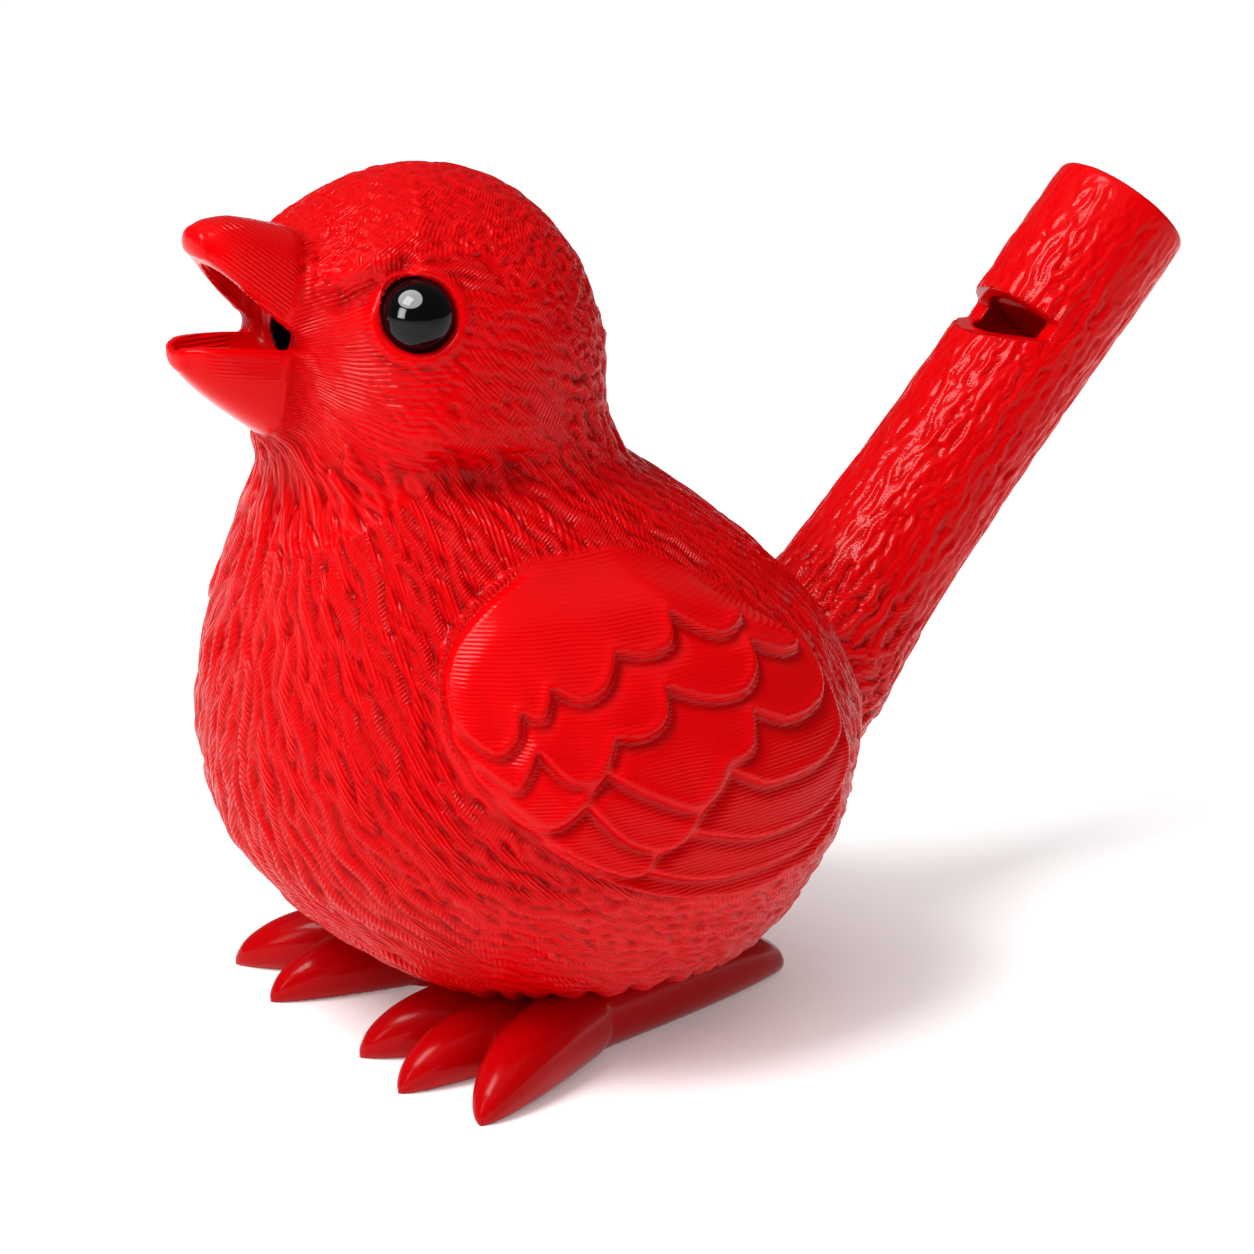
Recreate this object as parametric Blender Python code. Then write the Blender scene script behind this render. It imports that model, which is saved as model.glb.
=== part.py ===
# Bird whistle: a hollow plastic bird with an open beak, a whistle tube for a tail,
# two bead eyes and a windway block inside the blowing end.
# Sizes are millimetres here and become metres when a mesh is made.
# The beak points along -Y, the bird's left wing is on +X, the feet stand on Z = 0.

import math

import bmesh
import bpy
import numpy as np
from mathutils import Vector, geometry

MM = 0.001
WELD_DISTANCE = 0.000004

# The sizes below are laid out from the neck axis; this moves the origin under the middle of the whole bird
ORIGIN_Y = 6.48

# Looks
BODY_COLOUR = (0.70, 0.004, 0.006, 1.0)
BODY_ROUGHNESS = 0.28
EYE_COLOUR = (0.004, 0.004, 0.005, 1.0)
EYE_ROUGHNESS = 0.06
SMOOTH_ANGLE_DEG = 35.0

# Body and head: height, centre along Y, half depth of each level
BODY_LEVELS = [
    (3.6, -5.0, 8.9), (4.6, -5.5, 12.6), (7.0, -6.4, 16.1), (11.0, -7.5, 19.4), (16.0, -8.1, 22.0),
    (22.0, -8.3, 22.9), (28.0, -9.2, 21.5), (33.0, -10.8, 18.8), (38.0, -13.1, 15.2), (42.0, -15.3, 12.3),
    (46.0, -16.1, 11.8), (50.0, -16.4, 11.9), (54.0, -16.7, 11.1), (58.0, -16.8, 9.0), (61.0, -16.7, 5.2),
    (62.1, -16.6, 0.0),
]
BODY_WIDTH_RATIO = 0.97
BODY_SQUARENESS = 2.25
BODY_SEGMENTS = 44

# Air and water chamber: wall of the body, thicker wall of the head, and how far it keeps back from the mouth
BODY_WALL = 1.8
HEAD_WALL = 3.4
HEAD_WALL_FROM = 38.0
HEAD_WALL_FULL = 46.0
MOUTH_KEEP_BACK = 1.3
CHAMBER_SEGMENTS = 28

# Soft swellings and hollows of the head: angle from the beak, height, spread of each, rise
FACE_FORMS = [
    (66.0, 46.6, 24.0, 3.0, 0.75),
    (76.0, 42.6, 30.0, 1.7, -0.75),
    (48.0, 57.2, 20.0, 1.5, 0.40),
    (62.5, 54.0, 15.0, 2.7, -0.35),
]

# Beak halves: position along Y, upper edge, lower edge, half width
UPPER_BEAK = [
    (-21.5, 57.6, 50.4, 5.4), (-25.5, 58.6, 50.6, 5.2), (-27.6, 59.1, 51.5, 4.9), (-29.4, 59.6, 53.2, 4.2),
    (-31.0, 59.9, 55.0, 3.4), (-32.5, 59.8, 56.7, 2.4), (-33.4, 59.4, 57.7, 1.4),
]
UPPER_BEAK_TIP = (-33.7, 58.6)
LOWER_BEAK = [
    (-21.5, 50.5, 41.5, 5.6), (-25.5, 51.2, 42.6, 5.2), (-28.0, 51.4, 44.2, 4.7), (-30.4, 51.7, 46.0, 4.1),
    (-32.4, 51.9, 47.6, 3.4), (-33.9, 52.0, 49.0, 2.5), (-34.9, 51.9, 50.1, 1.5),
]
LOWER_BEAK_TIP = (-35.3, 51.1)
# Height of the widest line of each half, as a share of its height: the two gape edges
UPPER_EDGE_SHARE = 0.1
LOWER_EDGE_SHARE = 0.9
MOUTH_POCKET = [
    (-36.5, 56.0, 52.0, 0.7), (-35.0, 56.2, 51.5, 1.1), (-34.2, 56.5, 51.0, 1.8), (-33.0, 56.9, 50.7, 2.4),
    (-31.0, 56.8, 50.3, 3.0), (-28.6, 56.2, 50.1, 3.8), (-26.4, 55.4, 50.2, 3.6), (-24.9, 54.4, 50.9, 3.0),
]
MOUTH_HOLE_RADIUS = 1.9
MOUTH_HOLE_HEIGHT = 52.5

# Eyes: angle from the beak, height, bead radius, depth of the bead's centre, bead back, clearance
EYE_ANGLE = 62.5
EYE_HEIGHT = 54.0
EYE_RADIUS = 2.5
EYE_CENTRE_DEPTH = 0.7
EYE_BACK_DEPTH = 1.5
EYE_CLEARANCE = 0.28

# Tail tube: centre of the blowing end, direction out of the body, radius at distances from the end
TAIL_END = np.array([0.0, 44.46, 52.25])
TAIL_SLOPE_DEG = 47.0
TAIL_RADII = [
    (0.0, 5.2), (0.3, 5.45), (6.0, 5.45), (12.0, 5.4), (18.0, 5.4), (26.0, 5.5), (32.0, 5.7),
    (36.0, 5.95), (40.0, 6.4), (43.0, 6.75), (45.5, 6.6), (48.0, 5.9), (50.0, 4.7), (51.5, 3.0),
]
TAIL_SEGMENTS = 28
BORE_RADIUS = 4.0
BORE_SEGMENTS = 26
BORE_LENGTH = 48.0

# Windway between the block's flat top and the tube's bore
WINDWAY_HEIGHT = 1.4

# Window cut in the top of the tube: lip distance from the end, length of its flat, whole length
WINDOW_LIP = 11.8
WINDOW_FLAT = 1.4
WINDOW_LENGTH = 4.5
WINDOW_BELOW_WINDWAY = 0.4
WINDOW_OVERCUT = 0.85

# Windway block pressed into the blowing end
BLOCK_CLEARANCE = 0.3
BLOCK_RECESS = 0.6
BLOCK_TO_WINDOW = 0.4

# Feet: ankle place and thickness, then each toe: how far out and forward of the ankle it starts,
# its direction out from straight ahead, its length and its half thickness
ANKLE_X = 8.0
ANKLE_Y = -11.0
ANKLE_RADIUS = 3.4
TOES_LEFT_FOOT = [
    (-1.2, 0.2, -17.5, 13.6, 2.6), (0.4, 1.0, 5.3, 13.0, 2.5),
    (2.4, -0.2, 29.1, 14.0, 2.75), (1.6, -0.8, -167.9, 21.0, 2.95),
]
TOES_RIGHT_FOOT = [
    (-0.8, 0.3, 9.3, 13.6, 2.45), (0.3, 0.5, 36.8, 14.9, 2.6),
    (0.6, 0.0, 68.2, 11.9, 2.2), (1.6, -0.8, -167.9, 21.0, 2.95),
]
SOLE_OVERCUT = 0.16
TOE_SHAPE = [(0.0, 1.0), (0.3, 1.0), (0.55, 0.92), (0.75, 0.74), (0.9, 0.48), (0.98, 0.22)]
TOE_SEGMENTS = 12

# Wing: edge of the whole wing as angle from the beak and height, front bottom over the top to the rear
WING_RIM = [
    (63.8, 20.2), (57.0, 22.6), (52.2, 25.2), (49.6, 27.6), (49.6, 30.2), (51.8, 32.3), (57.4, 34.2), (67.4, 36.1),
    (81.8, 37.5), (96.4, 37.6), (110.0, 36.0), (118.8, 33.4), (124.6, 30.4), (126.2, 27.0), (126.2, 23.3),
]
# Each row: first and last rim point it shares, then the trailing edge from the front to the rear.
# Points with a 1 are sharp corners between two feathers. The first row lies lowest.
WING_ROWS = [
    (0, 14, [(72.0, 17.9, 0), (80.5, 16.1, 0), (90.3, 14.8, 0), (100.0, 14.2, 0), (108.5, 14.8, 1),
                   (114.0, 15.0, 0), (120.0, 16.3, 1), (122.8, 17.9, 0), (123.4, 20.6, 1)]),
    (1, 13, [(64.0, 20.8, 0), (74.0, 18.4, 0), (84.0, 17.3, 1), (92.0, 16.1, 0), (101.0, 15.9, 0),
                   (112.0, 16.4, 0), (120.5, 18.2, 1), (123.0, 20.6, 0), (124.3, 23.0, 1)]),
    (1, 13, [(64.0, 20.9, 0), (78.8, 17.5, 0), (84.0, 18.7, 1), (90.2, 19.7, 1), (98.0, 18.5, 0),
                   (107.1, 18.4, 0), (116.0, 19.0, 0), (121.6, 20.6, 0), (124.0, 23.4, 1)]),
    (1, 12, [(65.6, 21.3, 0), (72.5, 22.6, 1), (79.0, 19.9, 0), (86.1, 19.2, 0), (89.9, 20.7, 1),
                   (95.4, 23.2, 1), (100.5, 22.0, 0), (106.6, 21.9, 0), (116.0, 22.4, 0), (122.4, 24.4, 0)]),
    (2, 12, [(58.0, 23.6, 0), (65.6, 21.6, 0), (72.3, 23.0, 1), (76.2, 24.5, 1), (83.0, 22.7, 0),
                   (90.2, 21.6, 0), (94.8, 23.8, 1), (99.5, 24.4, 0), (101.8, 26.5, 1), (107.5, 25.4, 0),
                   (114.0, 25.4, 0), (120.2, 26.4, 0)]),
    (3, 11, [(55.6, 25.4, 0), (61.3, 24.0, 0), (65.6, 26.2, 1), (70.0, 24.3, 0), (75.0, 24.3, 0),
                   (79.0, 26.6, 1), (83.6, 26.4, 0), (87.8, 27.2, 0), (89.7, 29.0, 1), (95.0, 27.9, 0),
                   (101.0, 27.8, 0), (106.0, 28.8, 0), (108.3, 30.3, 1), (114.0, 29.2, 0), (120.0, 29.6, 0)]),
    (4, 10, [(53.8, 27.4, 0), (58.8, 26.2, 0), (62.4, 27.0, 0), (64.1, 28.6, 1), (67.6, 28.2, 0),
                   (70.5, 29.8, 1), (75.0, 29.0, 0), (80.0, 29.6, 0), (84.2, 31.4, 1), (89.4, 30.9, 0),
                   (93.6, 31.4, 0), (96.3, 33.0, 1), (101.5, 31.3, 0), (107.0, 31.3, 0), (112.4, 32.6, 0)]),
]
WING_CENTRE = (88.0, 27.0)
WING_TURN_DEG = -2.0
WING_LIFT = 0.35
WING_INSET_PER_ROW = 0.012
WING_ROOT_DEPTH = 1.1
WING_LOWEST_RISE = 0.5
WING_RISE_PER_ROW = 0.12
FEATHER_TIP_RISE = 0.55
FEATHER_TIP_REACH = 2.8


def clear_scene():
    for item in list(bpy.data.objects):
        bpy.data.objects.remove(item, do_unlink=True)


def smooth_curve(knots, values, where):
    # Monotone cubic through the knots, so a profile never overshoots its measured sizes
    knots = np.asarray(knots, float)
    values = np.asarray(values, float)
    where = np.clip(np.asarray(where, float), knots[0], knots[-1])
    steps = np.diff(knots)
    slopes = np.diff(values) / steps
    tangents = np.zeros(len(knots))
    tangents[0] = slopes[0]
    tangents[-1] = slopes[-1]
    for i in range(1, len(knots) - 1):
        if slopes[i - 1] * slopes[i] > 0.0:
            w1 = 2.0 * steps[i] + steps[i - 1]
            w2 = steps[i] + 2.0 * steps[i - 1]
            tangents[i] = (w1 + w2) / (w1 / slopes[i - 1] + w2 / slopes[i])
    index = np.clip(np.searchsorted(knots, where, side="right") - 1, 0, len(knots) - 2)
    h = steps[index]
    t = (where - knots[index]) / h
    a = (2.0 * t ** 3 - 3.0 * t ** 2 + 1.0) * values[index]
    b = (t ** 3 - 2.0 * t ** 2 + t) * h * tangents[index]
    c = (-2.0 * t ** 3 + 3.0 * t ** 2) * values[index + 1]
    d = (t ** 3 - t ** 2) * h * tangents[index + 1]
    return a + b + c + d


def level_point(levels, angle_deg, height, rise=0.0):
    # Point of a rounded level at an angle from the beak, positive towards the bird's left
    rows = np.array(levels)
    centre = smooth_curve(rows[:, 0], rows[:, 1], height)
    depth = np.sqrt(np.maximum(smooth_curve(rows[:, 0], rows[:, 2] ** 2, height), 0.0)) + rise
    angle = np.radians(angle_deg)
    s = np.sin(angle)
    c = np.cos(angle)
    power = 2.0 / BODY_SQUARENESS
    x = depth * BODY_WIDTH_RATIO * np.sign(s) * np.abs(s) ** power
    y = centre - depth * np.sign(c) * np.abs(c) ** power
    return np.stack(np.broadcast_arrays(x, y, height), axis=-1)


def face_rise(angle_deg, height):
    rise = np.zeros(np.broadcast(angle_deg, height).shape)
    turned = (np.asarray(angle_deg) + 180.0) % 360.0 - 180.0
    for centre, level, spread, tall, amount in FACE_FORMS:
        for side in (1.0, -1.0):
            across = (turned - side * centre) / spread
            up = (height - level) / tall
            rise = rise + amount * np.exp(-across ** 2 - up ** 2)
    return rise


def body_point(angle_deg, height):
    return level_point(BODY_LEVELS, angle_deg, height, face_rise(angle_deg, height))


def body_normal(angle_deg, height):
    step = 0.05
    along = body_point(angle_deg + step, height) - body_point(angle_deg - step, height)
    up = body_point(angle_deg, height + step) - body_point(angle_deg, height - step)
    normal = np.cross(along, up)
    normal = normal / np.linalg.norm(normal, axis=-1, keepdims=True)
    return normal


def make_object(name, points, faces, origin=(0.0, ORIGIN_Y, 0.0)):
    mesh = bpy.data.meshes.new(name)
    mesh.from_pydata([tuple((p[k] - origin[k]) * MM for k in range(3)) for p in points], [], faces)
    mesh.validate()
    mesh.update()
    item = bpy.data.objects.new(name, mesh)
    item.location = (origin[0] * MM, (origin[1] - ORIGIN_Y) * MM, origin[2] * MM)
    bpy.context.scene.collection.objects.link(item)
    face_outwards(item)
    return item


def face_outwards(item):
    # Flip every face when the signed volume comes out negative
    mesh = item.data
    mesh.calc_loop_triangles()
    volume = 0.0
    for tri in mesh.loop_triangles:
        a, b, c = (mesh.vertices[i].co for i in tri.vertices)
        volume += a.dot(b.cross(c))
    if volume < 0.0:
        mesh.flip_normals()


def loft(name, rings, start=None, end=None, origin=(0.0, ORIGIN_Y, 0.0)):
    # Skin a list of equal rings and close both ends with a fan to a point
    rings = [np.asarray(r, float) for r in rings]
    count = len(rings[0])
    points = [p for ring in rings for p in ring]
    faces = []
    for i in range(len(rings) - 1):
        for j in range(count):
            k = (j + 1) % count
            faces.append((i * count + j, i * count + k, (i + 1) * count + k, (i + 1) * count + j))
    for ring_index, tip in ((0, start), (len(rings) - 1, end)):
        centre = rings[ring_index].mean(axis=0) if tip is None else np.asarray(tip, float)
        points.append(centre)
        hub = len(points) - 1
        for j in range(count):
            k = (j + 1) % count
            a = ring_index * count + j
            b = ring_index * count + k
            faces.append((hub, b, a) if ring_index == 0 else (hub, a, b))
    return make_object(name, points, faces, origin)


def combine(target, tool, operation):
    modifier = target.modifiers.new("combine", "BOOLEAN")
    modifier.operation = operation
    modifier.solver = "EXACT"
    modifier.object = tool
    graph = bpy.context.evaluated_depsgraph_get()
    result = bpy.data.meshes.new_from_object(target.evaluated_get(graph))
    target.modifiers.clear()
    target.data = result
    bpy.data.objects.remove(tool, do_unlink=True)
    weld(target)


def weld(item):
    # Close the hair-thin slivers that a cut can leave where two edges nearly meet
    work = bmesh.new()
    work.from_mesh(item.data)
    bmesh.ops.remove_doubles(work, verts=work.verts[:], dist=WELD_DISTANCE)
    bmesh.ops.dissolve_degenerate(work, edges=work.edges[:], dist=WELD_DISTANCE)
    work.to_mesh(item.data)
    work.free()


def add(target, tool):
    combine(target, tool, "UNION")


def cut(target, tool):
    combine(target, tool, "DIFFERENCE")


def stacked_form(name, levels, heights, segments, shape):
    angles = np.arange(segments) * 360.0 / segments
    rings = [shape(angles, np.full(segments, z)) for z in heights]
    top_centre = (0.0, levels[-1][1], levels[-1][0])
    bottom_centre = (0.0, levels[0][1], levels[0][0])
    return loft(name, rings, bottom_centre, top_centre)


def spaced_heights(levels, spacing, cap_steps):
    # Even steps up the form, then steps that close in on the crown
    low = levels[0][0]
    high = levels[-1][0]
    cap_start = high - 4.2
    first = [low, low + 0.5, low + 1.3, low + 2.4]
    count = int(round((cap_start - first[-1]) / spacing))
    middle = [first[-1] + (cap_start - first[-1]) * i / count for i in range(1, count + 1)]
    cap = [high - 4.2 * (1.0 - i / cap_steps) ** 2.0 for i in range(1, cap_steps)]
    return first + middle + cap


def make_shell():
    heights = spaced_heights(BODY_LEVELS, 1.9, 5)
    return stacked_form("body", BODY_LEVELS, heights, BODY_SEGMENTS, body_point)


def chamber_levels():
    # The body's own levels, drawn in by the wall on every side
    low = BODY_LEVELS[0][0]
    high = BODY_LEVELS[-1][0]
    levels = []
    for height, centre, depth in BODY_LEVELS:
        share = (height - low) / (high - low)
        in_head = min(max((height - HEAD_WALL_FROM) / (HEAD_WALL_FULL - HEAD_WALL_FROM), 0.0), 1.0)
        wall = BODY_WALL + (HEAD_WALL - BODY_WALL) * in_head
        inner_height = low + BODY_WALL + share * (high - low - BODY_WALL - HEAD_WALL)
        levels.append((inner_height, centre + MOUTH_KEEP_BACK * in_head, max(depth - wall, 0.0)))
    return levels


def make_chamber():
    levels = chamber_levels()
    heights = spaced_heights(levels, 3.2, 4)

    def shape(angles, z):
        return level_point(levels, angles, z)

    return stacked_form("chamber", levels, heights, CHAMBER_SEGMENTS, shape)


def oval_ring(y, top, bottom, half_width, segments, power):
    angles = np.arange(segments) * 2.0 * math.pi / segments
    s = np.sin(angles)
    c = np.cos(angles)
    x = half_width * np.sign(c) * np.abs(c) ** power
    z = (top + bottom) / 2.0 + (top - bottom) / 2.0 * np.sign(s) * np.abs(s) ** power
    return np.stack([x, np.full(segments, y), z], axis=-1)


def beak_ring(y, top, bottom, half_width, edge_share, segments):
    # Widest at the gape edge and arched away from it
    edge = bottom + (top - bottom) * edge_share
    angles = np.arange(segments) * 2.0 * math.pi / segments
    s = np.sin(angles)
    c = np.cos(angles)
    x = half_width * np.sign(c) * np.abs(c) ** 0.82
    z = edge + np.where(s >= 0.0, (top - edge) * np.abs(s) ** 0.95, -(edge - bottom) * np.abs(s) ** 0.95)
    return np.stack([x, np.full(segments, y), z], axis=-1)


def beak_half(name, sections, tip, edge_share):
    rings = [beak_ring(y, top, bottom, width, edge_share, 18) for y, top, bottom, width in sections]
    return loft(name, rings, None, (0.0, tip[0], tip[1]))


def make_mouth_pocket():
    rings = [oval_ring(y, top, bottom, width, 16, 0.62) for y, top, bottom, width in MOUTH_POCKET]
    return loft("pocket", rings)


def tail_direction():
    slope = math.radians(TAIL_SLOPE_DEG)
    return np.array([0.0, math.cos(slope), math.sin(slope)])


def tail_up():
    slope = math.radians(TAIL_SLOPE_DEG)
    return np.array([0.0, -math.sin(slope), math.cos(slope)])


def tail_point(distance, across, height):
    # Place in the tube: distance in from the blowing end, sideways, and towards the window side
    side = np.array([1.0, 0.0, 0.0])
    return TAIL_END - tail_direction() * distance + side * across + tail_up() * height


def tail_ring(distance, radius, segments, turn=0.0):
    ring = []
    for i in range(segments):
        angle = 2.0 * math.pi * (i + turn) / segments
        ring.append(tail_point(distance, radius * math.cos(angle), radius * math.sin(angle)))
    return ring


def make_tail():
    return loft("tail", [tail_ring(d, r, TAIL_SEGMENTS) for d, r in TAIL_RADII])


def make_bore():
    rings = [tail_ring(d, BORE_RADIUS, BORE_SEGMENTS, 0.37) for d in (-3.0, BORE_LENGTH)]
    return loft("bore", rings)


def tail_radius(distance):
    return float(np.interp(distance, [d for d, r in TAIL_RADII], [r for d, r in TAIL_RADII]))


def block_top():
    return BORE_RADIUS - WINDWAY_HEIGHT


def make_window():
    floor = block_top() - WINDOW_BELOW_WINDWAY
    outer = tail_radius(WINDOW_LIP) + WINDOW_OVERCUT
    outline = [
        (WINDOW_LIP, floor), (WINDOW_LIP + WINDOW_FLAT, floor),
        (WINDOW_LIP + WINDOW_LENGTH, outer), (WINDOW_LIP, outer),
    ]
    half_width = outer + WINDOW_OVERCUT
    rings = [[tail_point(d, side, h) for d, h in outline] for side in (-half_width, half_width + 0.1)]
    return loft("window", rings)


def make_block():
    radius = BORE_RADIUS - BLOCK_CLEARANCE
    edge = math.asin(min(block_top() / radius, 0.98))
    count = 20
    rings = []
    for distance in (BLOCK_RECESS, WINDOW_LIP - BLOCK_TO_WINDOW):
        ring = []
        for i in range(count + 1):
            angle = math.pi - edge + (math.pi + 2.0 * edge) * i / count
            ring.append(tail_point(distance, radius * math.cos(angle), radius * math.sin(angle)))
        rings.append(ring)
    return loft("fipple_block", rings, origin=tail_point(BLOCK_RECESS, 0.0, 0.0))


def eye_frame(side):
    angle = side * EYE_ANGLE
    centre = level_point(BODY_LEVELS, angle, EYE_HEIGHT, face_rise(angle, EYE_HEIGHT))
    normal = body_normal(angle, EYE_HEIGHT)
    across = np.cross(normal, np.array([0.0, 0.0, 1.0]))
    across = across / np.linalg.norm(across)
    return centre, normal, across, np.cross(across, normal)


def eye_ring(side, depth, radius, segments):
    centre, normal, across, up = eye_frame(side)
    ring = []
    for i in range(segments):
        angle = 2.0 * math.pi * i / segments
        ring.append(centre - normal * depth + across * radius * math.cos(angle) + up * radius * math.sin(angle))
    return ring


def make_eye(name, side):
    rings = [eye_ring(side, EYE_BACK_DEPTH, EYE_RADIUS * 0.72, 20)]
    for tilt in (-18.0, -6.0, 8.0, 22.0, 37.0, 52.0, 66.0, 79.0):
        turn = math.radians(tilt)
        rings.append(eye_ring(side, EYE_CENTRE_DEPTH - EYE_RADIUS * math.sin(turn), EYE_RADIUS * math.cos(turn), 20))
    centre, normal, across, up = eye_frame(side)
    return loft(name, rings, None, centre + normal * (EYE_RADIUS - EYE_CENTRE_DEPTH), centre - normal * EYE_CENTRE_DEPTH)


def make_socket(side):
    radius = EYE_RADIUS + EYE_CLEARANCE
    floor_depth = EYE_BACK_DEPTH + EYE_CLEARANCE
    rings = [eye_ring(side, floor_depth, radius * 0.86, 20), eye_ring(side, floor_depth - 0.5, radius, 20)]
    rings.append(eye_ring(side, -3.0, radius, 20))
    return loft("socket", rings)


def make_toe(name, side, out, forward, turn_deg, length, thickness):
    turn = math.radians(turn_deg)
    root = np.array([side * (ANKLE_X + out), ANKLE_Y - forward])
    tip = root + length * np.array([side * math.sin(turn), -math.cos(turn)])
    along = (tip - root) / np.linalg.norm(tip - root)
    across = np.array([-along[1], along[0]])
    rings = []
    for place, share in TOE_SHAPE:
        middle = root + (tip - root) * place
        half = thickness * share
        centre_height = half * (1.0 - SOLE_OVERCUT / 2.0)
        ring = []
        for i in range(TOE_SEGMENTS):
            angle = 2.0 * math.pi * (i + 0.5) / TOE_SEGMENTS
            spot = middle + across * half * math.cos(angle)
            rise = half * (1.0 + SOLE_OVERCUT / 2.0) * math.sin(angle)
            ring.append((spot[0], spot[1], centre_height + rise))
        rings.append(ring)
    return loft(name, rings, None, (tip[0], tip[1], thickness * 0.22))


def make_ankle(side):
    rings = []
    reach = BODY_LEVELS[2][0] + 1.0
    for z, share in ((-0.5, 0.97), (1.2, 1.0), (3.2, 1.0), (5.2, 0.94), (reach, 0.9)):
        radius = ANKLE_RADIUS * share
        ring = []
        for i in range(16):
            angle = 2.0 * math.pi * (i + 0.3) / 16
            ring.append((side * ANKLE_X + radius * math.cos(angle), ANKLE_Y + radius * 1.15 * math.sin(angle), z))
        rings.append(ring)
    return loft("ankle", rings)


def make_floor_cut():
    corners = [(-30.0, -40.0), (30.0, -40.0), (30.0, 30.0), (-30.0, 30.0)]
    return loft("floor_cut", [[(x, y, z) for x, y in corners] for z in (-6.0, 0.0)])


def inset(point, row_index):
    keep = 1.0 - WING_INSET_PER_ROW * row_index
    return tuple(c + (p - c) * keep for p, c in zip(point, WING_CENTRE))


def rounded_edge(points):
    # Turn the trailing edge into short straight steps, kept sharp at the feather corners
    result = []
    for i in range(len(points) - 1):
        a = points[i]
        b = points[i + 1]
        before = points[i - 1] if i > 0 and not a[2] else a
        after = points[i + 2] if i + 2 < len(points) and not b[2] else b
        for step in range(2):
            t = step / 2.0
            spot = []
            for k in (0, 1):
                m0 = (b[k] - before[k]) / 2.0
                m1 = (after[k] - a[k]) / 2.0
                h0 = 2 * t ** 3 - 3 * t ** 2 + 1
                h1 = t ** 3 - 2 * t ** 2 + t
                h2 = -2 * t ** 3 + 3 * t ** 2
                h3 = t ** 3 - t ** 2
                spot.append(h0 * a[k] + h1 * m0 + h2 * b[k] + h3 * m1)
            result.append(tuple(spot))
    result.append(points[-1][:2])
    return result


def inside(point, outline):
    hit = False
    x, y = point
    for i in range(len(outline)):
        x1, y1 = outline[i - 1]
        x2, y2 = outline[i]
        if (y1 > y) != (y2 > y) and x < (x2 - x1) * (y - y1) / (y2 - y1) + x1:
            hit = not hit
    return hit


def make_wing_row(row_index, side):
    rim_start, rim_end, edge = WING_ROWS[row_index]
    rim = [inset(p, row_index) for p in WING_RIM[rim_start:rim_end + 1]]
    trailing = [(rim[0][0], rim[0][1], 1)] + list(edge) + [(rim[-1][0], rim[-1][1], 1)]
    tips = rounded_edge(trailing)
    outline = tips[:-1] + rim[:0:-1]
    flat = [(a * 0.4, z) for a, z in outline]
    flat_tips = [(a * 0.4, z) for a, z in tips]
    spots = [Vector(p) for p in flat]
    for i in range(0, 16):
        for j in range(0, 12):
            spot = (19.0 + 2.4 * i + (1.2 if j % 2 else 0.0), 13.5 + 2.1 * j)
            near = min(math.hypot(spot[0] - p[0], spot[1] - p[1]) for p in flat)
            if inside(spot, flat) and near > 1.1:
                spots.append(Vector(spot))
    edges = [(i, (i + 1) % len(flat)) for i in range(len(flat))]
    verts, out_edges, tris, _, _, _ = geometry.delaunay_2d_cdt(spots, edges, [], 1, 1e-4)
    angles = side * (np.array([v[0] / 0.4 for v in verts]) + WING_TURN_DEG)
    heights = np.array([v[1] for v in verts]) + WING_LIFT
    base = body_point(angles, heights)
    normal = body_normal(angles, heights)
    tip_gap = np.array([min(math.hypot(v[0] - p[0], v[1] - p[1]) for p in flat_tips) for v in verts])
    rise = WING_LOWEST_RISE + WING_RISE_PER_ROW * row_index
    rise = rise + FEATHER_TIP_RISE * np.exp(-tip_gap / FEATHER_TIP_REACH)
    fade = np.clip((38.2 - heights) / 4.0, 0.25, 1.0)
    top = base + normal * (rise * fade)[:, None]
    low = base - normal * WING_ROOT_DEPTH
    count = len(verts)
    faces = []
    border = {}
    for tri in tris:
        faces.append(tuple(tri))
        faces.append(tuple(i + count for i in reversed(tri)))
        for k in range(3):
            a, b = tri[k], tri[(k + 1) % 3]
            border[(a, b)] = border.get((a, b), 0) + 1
    for a, b in border:
        if (b, a) not in border:
            faces.append((b, a, a + count, b + count))
    return make_object("wing_row", np.vstack([top, low]), faces)


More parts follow.
